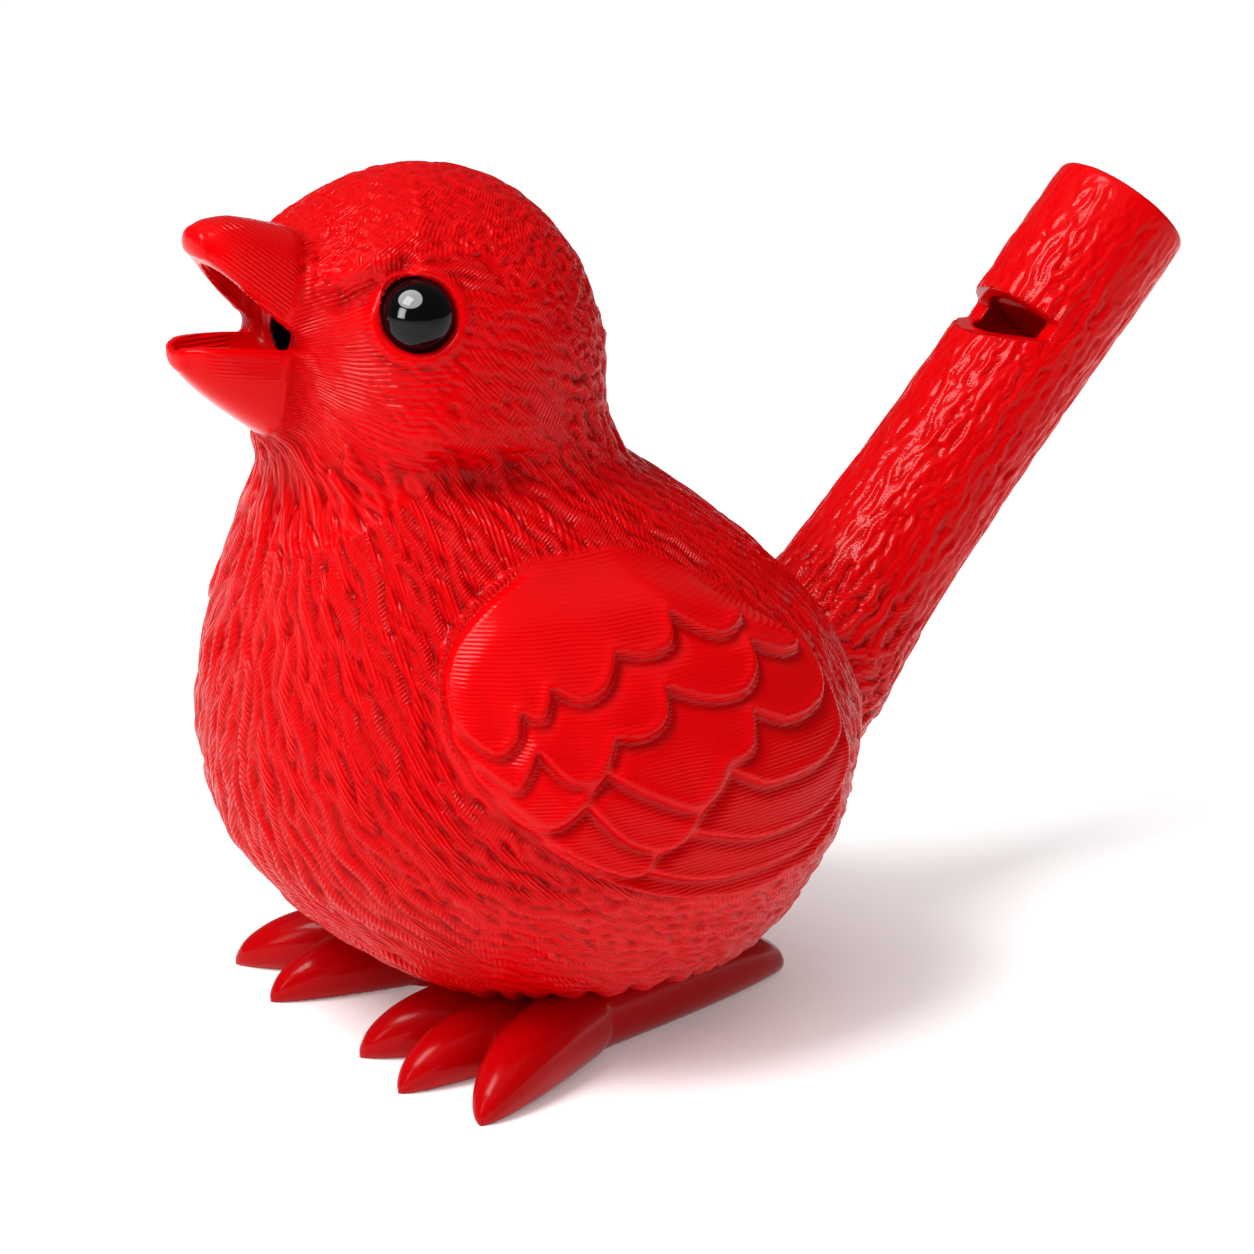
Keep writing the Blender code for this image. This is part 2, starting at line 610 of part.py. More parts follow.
def build():
    clear_scene()
    body = make_shell()
    add(body, make_tail())
    for side in (1.0, -1.0):
        add(body, make_ankle(side))
    for side, toes in ((1.0, TOES_LEFT_FOOT), (-1.0, TOES_RIGHT_FOOT)):
        for toe in toes:
            add(body, make_toe("toe", side, *toe))
    add(body, beak_half("upper_beak", UPPER_BEAK, UPPER_BEAK_TIP, UPPER_EDGE_SHARE))
    add(body, beak_half("lower_beak", LOWER_BEAK, LOWER_BEAK_TIP, LOWER_EDGE_SHARE))
    for side in (1.0, -1.0):
        for row_index in range(len(WING_ROWS)):
            add(body, make_wing_row(row_index, side))
    cut(body, make_floor_cut())
    cut(body, make_chamber())
    cut(body, make_bore())
    cut(body, make_mouth_pocket())
    hole_rings = []
    for y in (-27.0, -19.0):
        ring = []
        for i in range(16):
            angle = 2.0 * math.pi * i / 16
            x = MOUTH_HOLE_RADIUS * math.cos(angle)
            ring.append((x, y, MOUTH_HOLE_HEIGHT + MOUTH_HOLE_RADIUS * math.sin(angle)))
        hole_rings.append(ring)
    cut(body, loft("mouth_hole", hole_rings))
    cut(body, make_window())
    for side in (1.0, -1.0):
        cut(body, make_socket(side))
    red = plastic("body_plastic", BODY_COLOUR, BODY_ROUGHNESS)
    black = plastic("eye_plastic", EYE_COLOUR, EYE_ROUGHNESS)
    block_red = plastic("block_plastic", BODY_COLOUR, BODY_ROUGHNESS)
    black_right = plastic("eye_right_plastic", EYE_COLOUR, EYE_ROUGHNESS)
    finish(body, red, None)
    finish(make_eye("eye_left", 1.0), black, body)
    finish(make_eye("eye_right", -1.0), black_right, body)
    finish(make_block(), block_red, body)


def plastic(name, colour, roughness):
    material = bpy.data.materials.new(name)
    material.use_nodes = True
    shader = material.node_tree.nodes["Principled BSDF"]
    shader.inputs["Base Color"].default_value = colour
    shader.inputs["Roughness"].default_value = roughness
    shader.inputs["Metallic"].default_value = 0.0
    material.diffuse_color = colour
    return material


def finish(item, material, carrier):
    item.data.materials.clear()
    item.data.materials.append(material)
    item.data.shade_smooth()
    item.data.set_sharp_from_angle(angle=math.radians(SMOOTH_ANGLE_DEG))
    item.parent = carrier


build()
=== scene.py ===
import math

import bpy
import numpy as np
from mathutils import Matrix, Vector, kdtree


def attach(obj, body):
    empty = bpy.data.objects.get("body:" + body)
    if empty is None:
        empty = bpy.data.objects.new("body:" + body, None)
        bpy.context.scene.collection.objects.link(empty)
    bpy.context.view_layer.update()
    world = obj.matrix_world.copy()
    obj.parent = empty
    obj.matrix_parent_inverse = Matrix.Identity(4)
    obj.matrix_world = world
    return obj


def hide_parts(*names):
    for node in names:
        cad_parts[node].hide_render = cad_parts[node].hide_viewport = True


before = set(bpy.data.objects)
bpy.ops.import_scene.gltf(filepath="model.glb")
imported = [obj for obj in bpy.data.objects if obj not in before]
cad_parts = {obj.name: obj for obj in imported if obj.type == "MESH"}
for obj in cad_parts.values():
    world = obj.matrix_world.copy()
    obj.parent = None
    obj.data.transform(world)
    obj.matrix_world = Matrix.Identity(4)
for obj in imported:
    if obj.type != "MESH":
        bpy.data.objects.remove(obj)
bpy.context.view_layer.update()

# Sizes are millimetres in the part's own layout, with the beak along -Y.
# Meshes become metres, moved by ORIGIN_Y, when they are made.
MM = 0.001
ORIGIN_Y = 6.48
VOXEL = 0.2
SEED = 20

X_AXIS = np.array([1.0, 0.0, 0.0])
Z_AXIS = np.array([0.0, 0.0, 1.0])
SIDES = (1.0, -1.0)
TURN = 6.283

# Body and head: height, centre along Y, half depth of each level
BODY_LEVELS = np.array([
    (3.6, -5.0, 8.9), (4.6, -5.5, 12.6), (7.0, -6.4, 16.1), (11.0, -7.5, 19.4), (16.0, -8.1, 22.0),
    (22.0, -8.3, 22.9), (28.0, -9.2, 21.5), (33.0, -10.8, 18.8), (38.0, -13.1, 15.2), (42.0, -15.3, 12.3),
    (46.0, -16.1, 11.8), (50.0, -16.4, 11.9), (54.0, -16.7, 11.1), (58.0, -16.8, 9.0), (61.0, -16.7, 5.2),
    (62.1, -16.6, 0.0),
])
WIDTH_RATIO = 0.97
SQUARENESS = 2.25

# Soft swellings and hollows of the head: angle from the beak, height, spread of each, rise
FACE_FORMS = [
    (66.0, 46.6, 24.0, 3.0, 0.75),
    (76.0, 42.6, 30.0, 1.7, -0.85),
    (48.0, 57.2, 20.0, 1.5, 0.40),
    (62.5, 54.0, 15.0, 2.7, -0.35),
]

# Beak halves: position along Y, upper edge, lower edge, half width
UPPER_BEAK = [
    (-21.5, 57.6, 50.4, 5.4), (-25.5, 58.6, 50.6, 5.2), (-27.6, 59.1, 51.5, 4.9), (-29.4, 59.6, 53.2, 4.2),
    (-31.0, 59.9, 55.0, 3.4), (-32.4, 59.85, 56.6, 2.5), (-33.2, 59.6, 57.4, 1.8),
]
UPPER_BEAK_TIP = (-33.85, 58.5)
LOWER_BEAK = [
    (-21.5, 50.5, 41.5, 5.6), (-25.5, 51.2, 42.6, 5.2), (-28.0, 51.4, 44.2, 4.7), (-30.4, 51.7, 46.0, 4.1),
    (-32.4, 51.9, 47.6, 3.4), (-33.9, 52.0, 49.0, 2.5), (-34.9, 51.9, 50.1, 1.5),
]
LOWER_BEAK_TIP = (-35.3, 51.1)
UPPER_EDGE_SHARE = 0.1
LOWER_EDGE_SHARE = 0.9
MOUTH_POCKET = [
    (-36.5, 56.0, 52.0, 0.7), (-35.0, 56.2, 51.5, 1.1), (-34.2, 56.5, 51.0, 1.6), (-33.0, 56.9, 50.6, 2.1),
    (-31.0, 56.8, 50.2, 2.7), (-29.0, 56.3, 49.9, 3.1), (-28.0, 55.7, 50.0, 2.9), (-27.3, 54.8, 50.5, 2.4),
]
MOUTH_HOLE = (1.25, 51.8, -28.0, -9.0)

# Folds of the face: path as angle and height, half width, rise
FACE_FOLDS = [
    ([(58.0, 57.0), (51.5, 56.1), (45.5, 55.7), (38.0, 55.2), (33.0, 54.9)], 1.0, -0.8),
    ([(64.0, 59.0), (52.0, 58.0), (42.0, 57.3), (32.0, 56.6), (24.0, 56.4)], 1.2, 0.42),
    ([(70.0, 43.9), (76.0, 43.3), (83.0, 43.2), (88.0, 43.5)], 1.3, -0.6),
    ([(66.0, 46.0), (76.0, 45.6), (88.0, 45.8)], 1.8, 0.22),
]
HEAD_MM_PER_DEGREE = 0.2
EYE_LID_RISE = 0.28

# Eyes: angle from the beak, height, bead radius, depth of the bead's centre, socket clearance and depth
EYE_ANGLE = 62.5
EYE_HEIGHT = 54.0
EYE_RADIUS = 2.5
EYE_CENTRE_DEPTH = 0.8
EYE_CLEARANCE = 0.03
EYE_SOCKET_DEPTH = 1.8

# Tail tube: centre of the blowing end, slope, outer radius at distances from the end
TAIL_END = np.array([0.0, 44.46, 52.25])
TAIL_SLOPE = math.radians(47.0)
TAIL_DIRECTION = np.array([0.0, math.cos(TAIL_SLOPE), math.sin(TAIL_SLOPE)])
TAIL_UP = np.array([0.0, -math.sin(TAIL_SLOPE), math.cos(TAIL_SLOPE)])
TAIL_RADII = [
    (0.0, 5.2), (0.3, 5.45), (6.0, 5.45), (12.0, 5.4), (18.0, 5.4), (26.0, 5.5), (32.0, 5.7),
    (36.0, 5.95), (40.0, 6.4), (43.0, 6.75), (45.5, 6.6), (48.0, 5.9), (50.0, 4.7), (51.5, 3.0),
]
BORE_RADIUS = 4.0
BORE_DEPTH = 30.0
WINDWAY_HEIGHT = 1.4
WINDOW_LIP = 11.8
WINDOW_FLAT = 1.4
WINDOW_LENGTH = 4.5
WINDOW_BELOW_WINDWAY = 0.4
BLOCK_RECESS = 0.6
BLOCK_TO_WINDOW = 0.4

# Feet: ankle place, then each toe: start out and forward of the ankle, direction, length, half thickness
ANKLE_X = 8.0
ANKLE_Y = -11.0
ANKLE_RADIUS = 3.4
TOES_LEFT_FOOT = [
    (-1.2, 0.2, -17.5, 13.6, 2.6), (0.4, 1.0, 5.3, 13.0, 2.5),
    (2.4, -0.2, 29.1, 14.0, 2.75), (1.6, -0.8, -167.9, 21.0, 2.95),
]
TOES_RIGHT_FOOT = [
    (-0.8, 0.3, 9.3, 13.6, 2.45), (0.3, 0.5, 36.8, 14.9, 2.6),
    (0.6, 0.0, 68.2, 11.9, 2.2), (1.6, -0.8, -167.9, 21.0, 2.95),
]
TOE_SHAPE = [(0.0, 1.0), (0.3, 1.0), (0.55, 0.92), (0.75, 0.74), (0.9, 0.48), (0.965, 0.28), (0.99, 0.13)]

# Wing: edge of the whole wing as angle from the beak and height, front bottom over the top to the rear
WING_RIM = [
    (63.8, 20.2), (57.0, 22.6), (52.2, 25.2), (49.6, 27.6), (49.6, 30.2), (51.8, 32.3), (57.4, 34.2),
    (67.4, 36.1), (81.8, 37.5), (96.4, 37.6), (110.0, 36.0), (118.8, 33.4), (124.6, 30.4), (126.2, 27.0),
    (126.2, 23.3),
]
# Each row: first and last rim point it shares, then the trailing edge, where 1 marks a corner
# between two feathers
WING_ROWS = [
    (0, 14, [(72.0, 17.9, 0), (80.5, 16.1, 0), (90.3, 14.8, 0), (100.0, 14.2, 0), (108.5, 14.8, 1),
             (114.0, 15.0, 0), (120.0, 16.3, 1), (122.8, 17.9, 0), (123.4, 20.6, 1)]),
    (1, 13, [(64.0, 20.8, 0), (74.0, 18.4, 0), (84.0, 17.3, 1), (92.0, 16.1, 0), (101.0, 15.9, 0),
             (112.0, 16.4, 0), (120.5, 18.2, 1), (123.0, 20.6, 0), (124.3, 23.0, 1)]),
    (1, 13, [(64.0, 20.9, 0), (78.8, 17.5, 0), (84.0, 18.7, 1), (90.2, 19.7, 1), (98.0, 18.5, 0),
             (107.1, 18.4, 0), (116.0, 19.0, 0), (121.6, 20.6, 0), (124.0, 23.4, 1)]),
    (1, 12, [(65.6, 21.3, 0), (72.5, 22.6, 1), (79.0, 19.9, 0), (86.1, 19.2, 0), (89.9, 20.7, 1),
             (95.4, 23.2, 1), (100.5, 22.0, 0), (106.6, 21.9, 0), (116.0, 22.4, 0), (122.4, 24.4, 0)]),
    (2, 12, [(58.0, 23.6, 0), (65.6, 21.6, 0), (72.3, 23.0, 1), (76.2, 24.5, 1), (83.0, 22.7, 0),
             (90.2, 21.6, 0), (94.8, 23.8, 1), (99.5, 24.4, 0), (101.8, 26.5, 1), (107.5, 25.4, 0),
             (114.0, 25.4, 0), (120.2, 26.4, 0)]),
    (3, 11, [(55.6, 25.4, 0), (61.3, 24.0, 0), (65.6, 26.2, 1), (70.0, 24.3, 0), (75.0, 24.3, 0),
             (79.0, 26.6, 1), (83.6, 26.4, 0), (87.8, 27.2, 0), (89.7, 29.0, 1), (95.0, 27.9, 0),
             (101.0, 27.8, 0), (106.0, 28.8, 0), (108.3, 30.3, 1), (114.0, 29.2, 0), (120.0, 29.6, 0)]),
    (4, 10, [(53.8, 27.4, 0), (58.8, 26.2, 0), (62.4, 27.0, 0), (64.1, 28.6, 1), (67.6, 28.2, 0),
             (70.5, 29.8, 1), (75.0, 29.0, 0), (80.0, 29.6, 0), (84.2, 31.4, 1), (89.4, 30.9, 0),
             (93.6, 31.4, 0), (96.3, 33.0, 1), (101.5, 31.3, 0), (107.0, 31.3, 0), (112.4, 32.6, 0)]),
]
WING_CENTRE = np.array([88.0, 27.0])
WING_LOWEST_RISE = 0.5
WING_RISE_PER_ROW = 0.12
FEATHER_TIP_RISE = 0.55
FEATHER_TIP_REACH = 2.8
MM_PER_DEGREE = 0.4
WING_TURN_DEG = -2.0
WING_LIFT = 0.35
THREAD_HALF_WIDTH = 0.28
THREAD_RISE = 0.22

# Lower hem of the plumage, and how much deeper the plumage of the crown lies
HEM_HEIGHT = 5.0
HEM_RISE = 0.55
CROWN_SINK = 0.30

# Height where the head piece begins, distance along the tail where its tube meets the body,
# and how many rounds soften the creases there and at the beak
HEAD_FROM = 42.0
TAIL_ROOT = 31.0
SOFT_ROUNDS = 80

# Locks of plumage: how close they lie as shares of length and width, and what the small ones
# between them are of the large ones' length, width, height, winding, spread and hairs
LOCK_GAP_ALONG = 0.5
LOCK_GAP_ACROSS = 0.86
LARGE_LOCK_SCALE = (1.0, 1.0, 1.0, 1.0, 1.0, 1.0)
SMALL_LOCK_SCALE = (0.5, 0.75, 0.72, 0.8, 1.0, 1.0)

# Fine lines: distance from one to the next in millimetres
HAIR_PERIOD = 0.28
BEAK_LINE_PERIOD = 0.27
FACE_LINE_PERIOD = 0.29
THREAD_TWIST = 0.55

# Depth below the neighbours that counts as a whole groove for the painted groove shade, and the painted
# black shade of the mouth's deep hole
GROOVE_DEPTH = 0.16
DEEP_HOLE_SHADE = 3.0

# Bump of the red plastic, in metres, and the share of each kind of line in it
BUMP_DISTANCE = 0.000035
HAIR_BUMP = 1.1
WING_LINE_BUMP = 0.22
WING_LINE_PERIOD = 0.00025
BARK_BUMP = 5.5
BARK_STRETCH = 0.22

# Distance of the soft boxes from the bird and from the beads, in metres
KEY_DISTANCE = 0.6
CATCH_DISTANCE = 0.3


class Skin:
    # The red skin: its quads, and what is known of each of its points
    pass


def smooth_curve(knots, values, where):
    # Monotone cubic through the knots
    knots = np.asarray(knots, float)
    values = np.asarray(values, float)
    where = np.clip(np.asarray(where, float), knots[0], knots[-1])
    steps = np.diff(knots)
    slopes = np.diff(values) / steps
    tangents = np.zeros(len(knots))
    tangents[0] = slopes[0]
    tangents[-1] = slopes[-1]
    for i in range(1, len(knots) - 1):
        if slopes[i - 1] * slopes[i] > 0.0:
            w1 = 2.0 * steps[i] + steps[i - 1]
            w2 = steps[i] + 2.0 * steps[i - 1]
            tangents[i] = (w1 + w2) / (w1 / slopes[i - 1] + w2 / slopes[i])
    index = np.clip(np.searchsorted(knots, where, side="right") - 1, 0, len(knots) - 2)
    h = steps[index]
    t = (where - knots[index]) / h
    a = (2.0 * t ** 3 - 3.0 * t ** 2 + 1.0) * values[index]
    b = (t ** 3 - 2.0 * t ** 2 + t) * h * tangents[index]
    c = (-2.0 * t ** 3 + 3.0 * t ** 2) * values[index + 1]
    d = (t ** 3 - t ** 2) * h * tangents[index + 1]
    return a + b + c + d


def step_between(low, high, value):
    t = np.clip((value - low) / (high - low), 0.0, 1.0)
    return t * t * (3.0 - 2.0 * t)


def body_centre(height):
    return smooth_curve(BODY_LEVELS[:, 0], BODY_LEVELS[:, 1], height)


def body_depth(height):
    return np.sqrt(np.maximum(smooth_curve(BODY_LEVELS[:, 0], BODY_LEVELS[:, 2] ** 2, height), 0.0))


def face_rise(angle, height):
    rise = np.zeros(np.broadcast(angle, height).shape)
    turned = (np.asarray(angle) + 180.0) % 360.0 - 180.0
    for centre, level, spread, tall, amount in FACE_FORMS:
        for side in SIDES:
            across = (turned - side * centre) / spread
            up = (height - level) / tall
            rise = rise + amount * np.exp(-across ** 2 - up ** 2)
    return rise


def body_point(angle, height):
    depth = body_depth(height) + face_rise(angle, height)
    s = np.sin(np.radians(angle))
    c = np.cos(np.radians(angle))
    power = 2.0 / SQUARENESS
    x = depth * WIDTH_RATIO * np.sign(s) * np.abs(s) ** power
    y = body_centre(height) - depth * np.sign(c) * np.abs(c) ** power
    return np.stack(np.broadcast_arrays(x, y, height), axis=-1)


def body_normal(angle, height):
    step = 0.05
    along = body_point(angle + step, height) - body_point(angle - step, height)
    up = body_point(angle, height + step) - body_point(angle, height - step)
    normal = np.cross(along, up)
    return normal / np.linalg.norm(normal, axis=-1, keepdims=True)


def body_place(points):
    # Angle from the beak, height and how far a point lies outside the body's surface
    height = points[:, 2]
    away = points[:, 1] - body_centre(height)
    across = points[:, 0] / WIDTH_RATIO
    power = SQUARENESS / 2.0
    s = np.sign(across) * np.abs(across) ** power
    c = -np.sign(away) * np.abs(away) ** power
    angle = np.degrees(np.arctan2(s, c))
    reach = (np.abs(across) ** SQUARENESS + np.abs(away) ** SQUARENESS) ** (1.0 / SQUARENESS)
    outside = reach - body_depth(height) - face_rise(angle, height)
    return angle, height, outside


def tail_place(points):
    # Distance in from the blowing end, sideways, towards the window, and from the axis
    from_end = points - TAIL_END
    distance = -from_end @ TAIL_DIRECTION
    across = from_end[:, 0]
    up = from_end @ TAIL_UP
    return distance, across, up, np.hypot(across, up)


def tail_point(distance, across, up):
    return TAIL_END - TAIL_DIRECTION * distance + X_AXIS * across + TAIL_UP * up


def tail_radius(distance):
    knots = [d for d, r in TAIL_RADII[1:]]
    return smooth_curve(knots, [r for d, r in TAIL_RADII[1:]], distance)


# Plain mesh making

def skin_rings(rings, start=None, end=None):
    # Points and faces of a closed skin over equal rings
    count = len(rings[0])
    points = [p for ring in rings for p in ring]
    faces = []
    for i in range(len(rings) - 1):
        for j in range(count):
            k = (j + 1) % count
            faces.append((i * count + j, i * count + k, (i + 1) * count + k, (i + 1) * count + j))
    for ring_index, tip in ((0, start), (len(rings) - 1, end)):
        centre = np.mean(rings[ring_index], axis=0) if tip is None else np.asarray(tip, float)
        points.append(centre)
        hub = len(points) - 1
        for j in range(count):
            a = ring_index * count + j
            b = ring_index * count + (j + 1) % count
            faces.append((hub, b, a) if ring_index == 0 else (hub, a, b))
    return np.array(points, float), faces


def signed_volume(points, faces):
    total = 0.0
    for face in faces:
        for i in range(1, len(face) - 1):
            total += np.dot(points[face[0]], np.cross(points[face[i]], points[face[i + 1]]))
    return total


def make_object(name, points, faces, outwards=True):
    if outwards and signed_volume(points, faces) < 0.0:
        faces = [tuple(reversed(f)) for f in faces]
    mesh = bpy.data.meshes.new(name)
    mesh.from_pydata([tuple(p) for p in points], [], faces)
    mesh.update()
    item = bpy.data.objects.new(name, mesh)
    bpy.context.scene.collection.objects.link(item)
    return item


def loft(name, rings, start=None, end=None):
    points, faces = skin_rings(rings, start, end)
    return make_object(name, points, faces)


def drop(item):
    mesh = item.data
    bpy.data.objects.remove(item, do_unlink=True)
    bpy.data.meshes.remove(mesh)


def applied(item):
    graph = bpy.context.evaluated_depsgraph_get()
    result = bpy.data.meshes.new_from_object(item.evaluated_get(graph))
    item.modifiers.clear()
    old = item.data
    item.data = result
    bpy.data.meshes.remove(old)


def cut(target, tool):
    modifier = target.modifiers.new("cut", "BOOLEAN")
    modifier.operation = "DIFFERENCE"
    modifier.solver = "EXACT"
    modifier.object = tool
    applied(target)


def mesh_points(mesh):
    points = np.zeros(len(mesh.vertices) * 3)
    mesh.vertices.foreach_get("co", points)
    return points.reshape(-1, 3)


def fuse(name, items):
    # One skin over overlapping solids, with its edges rounded by about a voxel
    points = []
    faces = []
    start = 0
    for item in items:
        points.append(mesh_points(item.data))
        faces.extend(tuple(i + start for i in face.vertices) for face in item.data.polygons)
        start += len(points[-1])
        drop(item)
    joined = make_object(name, np.vstack(points), faces, outwards=False)
    modifier = joined.modifiers.new("skin", "REMESH")
    modifier.mode = "VOXEL"
    modifier.voxel_size = VOXEL
    modifier.adaptivity = 0.0
    applied(joined)
    mesh = joined.data
    points = mesh_points(mesh)
    corners = np.zeros(len(mesh.loops), int)
    mesh.loops.foreach_get("vertex_index", corners)
    sizes = np.zeros(len(mesh.polygons), int)
    mesh.polygons.foreach_get("loop_total", sizes)
    drop(joined)
    if np.any(sizes != 4):
        raise RuntimeError("the remeshed skin isn't all quads")
    return points, corners.reshape(-1, 4)


def vertex_normals(points, quads):
    a = points[quads[:, 2]] - points[quads[:, 0]]
    b = points[quads[:, 3]] - points[quads[:, 1]]
    face = np.cross(a, b)
    normals = np.zeros_like(points)
    for k in range(3):
        total = np.zeros(len(points))
        for j in range(4):
            total += np.bincount(quads[:, j], weights=face[:, k], minlength=len(points))
        normals[:, k] = total
    return normals / np.maximum(np.linalg.norm(normals, axis=1, keepdims=True), 1e-12)


def smoothed(values, quads, weight, rounds):
    # Each round moves a value towards the mean of its neighbours by its weight
    count = len(values)
    pairs = np.vstack([quads[:, [0, 1]], quads[:, [1, 2]], quads[:, [2, 3]], quads[:, [3, 0]]])
    near = np.maximum(np.bincount(pairs.ravel(), minlength=count), 1)
    values = values.copy()
    flat = values.ndim == 1
    for _ in range(rounds):
        columns = [values] if flat else [values[:, k] for k in range(values.shape[1])]
        means = []
        for column in columns:
            total = np.bincount(pairs[:, 0], weights=column[pairs[:, 1]], minlength=count)
            total += np.bincount(pairs[:, 1], weights=column[pairs[:, 0]], minlength=count)
            means.append(total / near)
        mean = means[0] if flat else np.stack(means, axis=1)
        share = weight if flat else weight[:, None]
        values = values + (mean - values) * share
    return values


# Solids of the bird

def body_solid():
    heights = list(np.linspace(3.6, 8.0, 12)) + list(np.linspace(8.8, 57.2, 62))
    heights += [62.1 - 4.5 * (1.0 - i / 14.0) ** 2 for i in range(14)]
    angles = np.arange(128) * 360.0 / 128
    rings = [body_point(angles, np.full(128, z)) for z in heights]
    return loft("shell", rings, (0.0, -5.0, 3.6), (0.0, -16.6, 62.1))


def oval_ring(y, top, bottom, half_width, power, count=56):
    turn = np.arange(count) * 2.0 * math.pi / count
    s = np.sin(turn)
    c = np.cos(turn)
    x = half_width * np.sign(c) * np.abs(c) ** power
    z = (top + bottom) / 2.0 + (top - bottom) / 2.0 * np.sign(s) * np.abs(s) ** power
    return np.stack([x, np.full(count, y), z], axis=-1)


def beak_ring(y, top, bottom, half_width, edge_share, count=56):
    # Widest at the gape edge, arched away from it
    edge = bottom + (top - bottom) * edge_share
    turn = np.arange(count) * 2.0 * math.pi / count
    s = np.sin(turn)
    c = np.cos(turn)
    x = half_width * np.sign(c) * np.abs(c) ** 0.82
    z = edge + np.where(s >= 0.0, top - edge, bottom - edge) * np.abs(s) ** 0.95
    return np.stack([x, np.full(count, y), z], axis=-1)


def closer_sections(sections, steps=5):
    rows = np.array(sections)
    rows = rows[np.argsort(rows[:, 0])]
    where = np.linspace(rows[0, 0], rows[-1, 0], steps * (len(rows) - 1) + 1)
    return np.stack([where] + [smooth_curve(rows[:, 0], rows[:, k], where) for k in (1, 2, 3)], axis=-1)


def beak_solid(name, sections, tip, edge_share):
    rows = closer_sections(sections)
    first = rows[0]
    # Round the point between the last section and the tip
    middle = (first[1] + first[2]) / 2.0
    rings = []
    for t in (0.985, 0.94, 0.85, 0.7, 0.5, 0.25):
        share = math.sqrt(1.0 - t * t)
        y = first[0] + (tip[0] - first[0]) * t
        centre = middle + (tip[1] - middle) * t
        half = (first[1] - first[2]) / 2.0 * share
        edge = edge_share * (1.0 - t) + 0.5 * t
        rings.append(beak_ring(y, centre + half, centre - half, first[3] * share, edge))
    rings += [beak_ring(*row, edge_share) for row in rows]
    return loft(name, rings, (0.0, tip[0], tip[1]), None)


def pocket_solid():
    return loft("pocket", [oval_ring(*row, 0.66) for row in closer_sections(MOUTH_POCKET)])


def ring_around(centre, axis_a, axis_b, radius, count):
    angles = 2.0 * math.pi * np.arange(count) / count
    return centre + np.outer(np.cos(angles) * radius, axis_a) + np.outer(np.sin(angles) * radius, axis_b)


def hole_solid():
    radius, height, front, back = MOUTH_HOLE
    ends = [np.array([0.0, y, height]) for y in (front, back)]
    return loft("hole", [ring_around(end, X_AXIS, Z_AXIS, radius, 32) for end in ends])


def eye_frame(side):
    angle = side * EYE_ANGLE
    centre = body_point(np.array(angle), np.array(EYE_HEIGHT))
    normal = body_normal(np.array(angle), np.array(EYE_HEIGHT))
    across = np.cross(normal, Z_AXIS)
    across = across / np.linalg.norm(across)
    return centre, normal, across, np.cross(across, normal)


def socket_solid(side):
    centre, normal, across, up = eye_frame(side)
    radius = EYE_RADIUS + EYE_CLEARANCE
    rings = []
    for depth, share in ((EYE_SOCKET_DEPTH, 0.85), (EYE_SOCKET_DEPTH - 0.5, 1.0), (-3.0, 1.0)):
        rings.append(ring_around(centre - normal * depth, across, up, radius * share, 48))
    return loft("socket", rings)


def tail_solid():
    # From the bottom of the bore out over the blowing end, then down the outside
    sections = [
        (BORE_DEPTH, BORE_RADIUS), (2.0, BORE_RADIUS), (0.35, BORE_RADIUS + 0.05),
        (0.0, BORE_RADIUS + 0.35), (0.0, 5.15), (0.12, 5.35),
    ]
    distances = [0.4, 1.0] + list(np.arange(2.0, 50.0, 1.0)) + [50.5, 51.0, 51.5]
    sections += [(distance, float(tail_radius(distance))) for distance in distances]
    rings = []
    for distance, radius in sections:
        rings.append(ring_around(TAIL_END - TAIL_DIRECTION * distance, X_AXIS, TAIL_UP, radius, 72))
    return loft("tube", rings)


def window_solid():
    floor = BORE_RADIUS - WINDWAY_HEIGHT - WINDOW_BELOW_WINDWAY
    outer = 6.3
    outline = [
        (WINDOW_LIP, floor), (WINDOW_LIP + WINDOW_FLAT, floor),
        (WINDOW_LIP + WINDOW_LENGTH, outer), (WINDOW_LIP, outer),
    ]
    rings = [[tail_point(d, side, h) for d, h in outline] for side in (-7.2, 7.3)]
    return loft("window", rings)


def toe_solid(side, out, forward, turn_deg, length, thickness):
    turn = math.radians(turn_deg)
    root = np.array([side * (ANKLE_X + out), ANKLE_Y - forward])
    tip = root + length * np.array([side * math.sin(turn), -math.cos(turn)])
    along = (tip - root) / np.linalg.norm(tip - root)
    across = np.array([-along[1], along[0]])
    places = np.concatenate([np.linspace(0.0, 0.9, 19), [0.93, 0.955, 0.975, 0.99]])
    shares = smooth_curve([p for p, s in TOE_SHAPE], [s for p, s in TOE_SHAPE], places)
    turns = 2.0 * math.pi * np.arange(40) / 40
    rings = []
    for place, share in zip(places, shares):
        middle = root + (tip - root) * place
        half = thickness * share
        ring = np.zeros((40, 3))
        ring[:, 0] = middle[0] + across[0] * half * np.cos(turns)
        ring[:, 1] = middle[1] + across[1] * half * np.cos(turns)
        ring[:, 2] = half * 0.92 + half * 1.08 * np.sin(turns)
        rings.append(ring)
    return loft("toe", rings, None, (tip[0], tip[1], thickness * 0.2))


def ankle_solid(side):
    rings = []
    for z, share in ((-0.5, 0.97), (1.2, 1.0), (3.2, 1.0), (5.2, 0.94), (8.0, 0.9)):
        centre = np.array([side * ANKLE_X, ANKLE_Y, z])
        radius = ANKLE_RADIUS * share
        rings.append(ring_around(centre, X_AXIS, np.array([0.0, 1.15, 0.0]), radius, 40))
    return loft("ankle", rings)


# Wing heights in the plane of angle times MM_PER_DEGREE and height

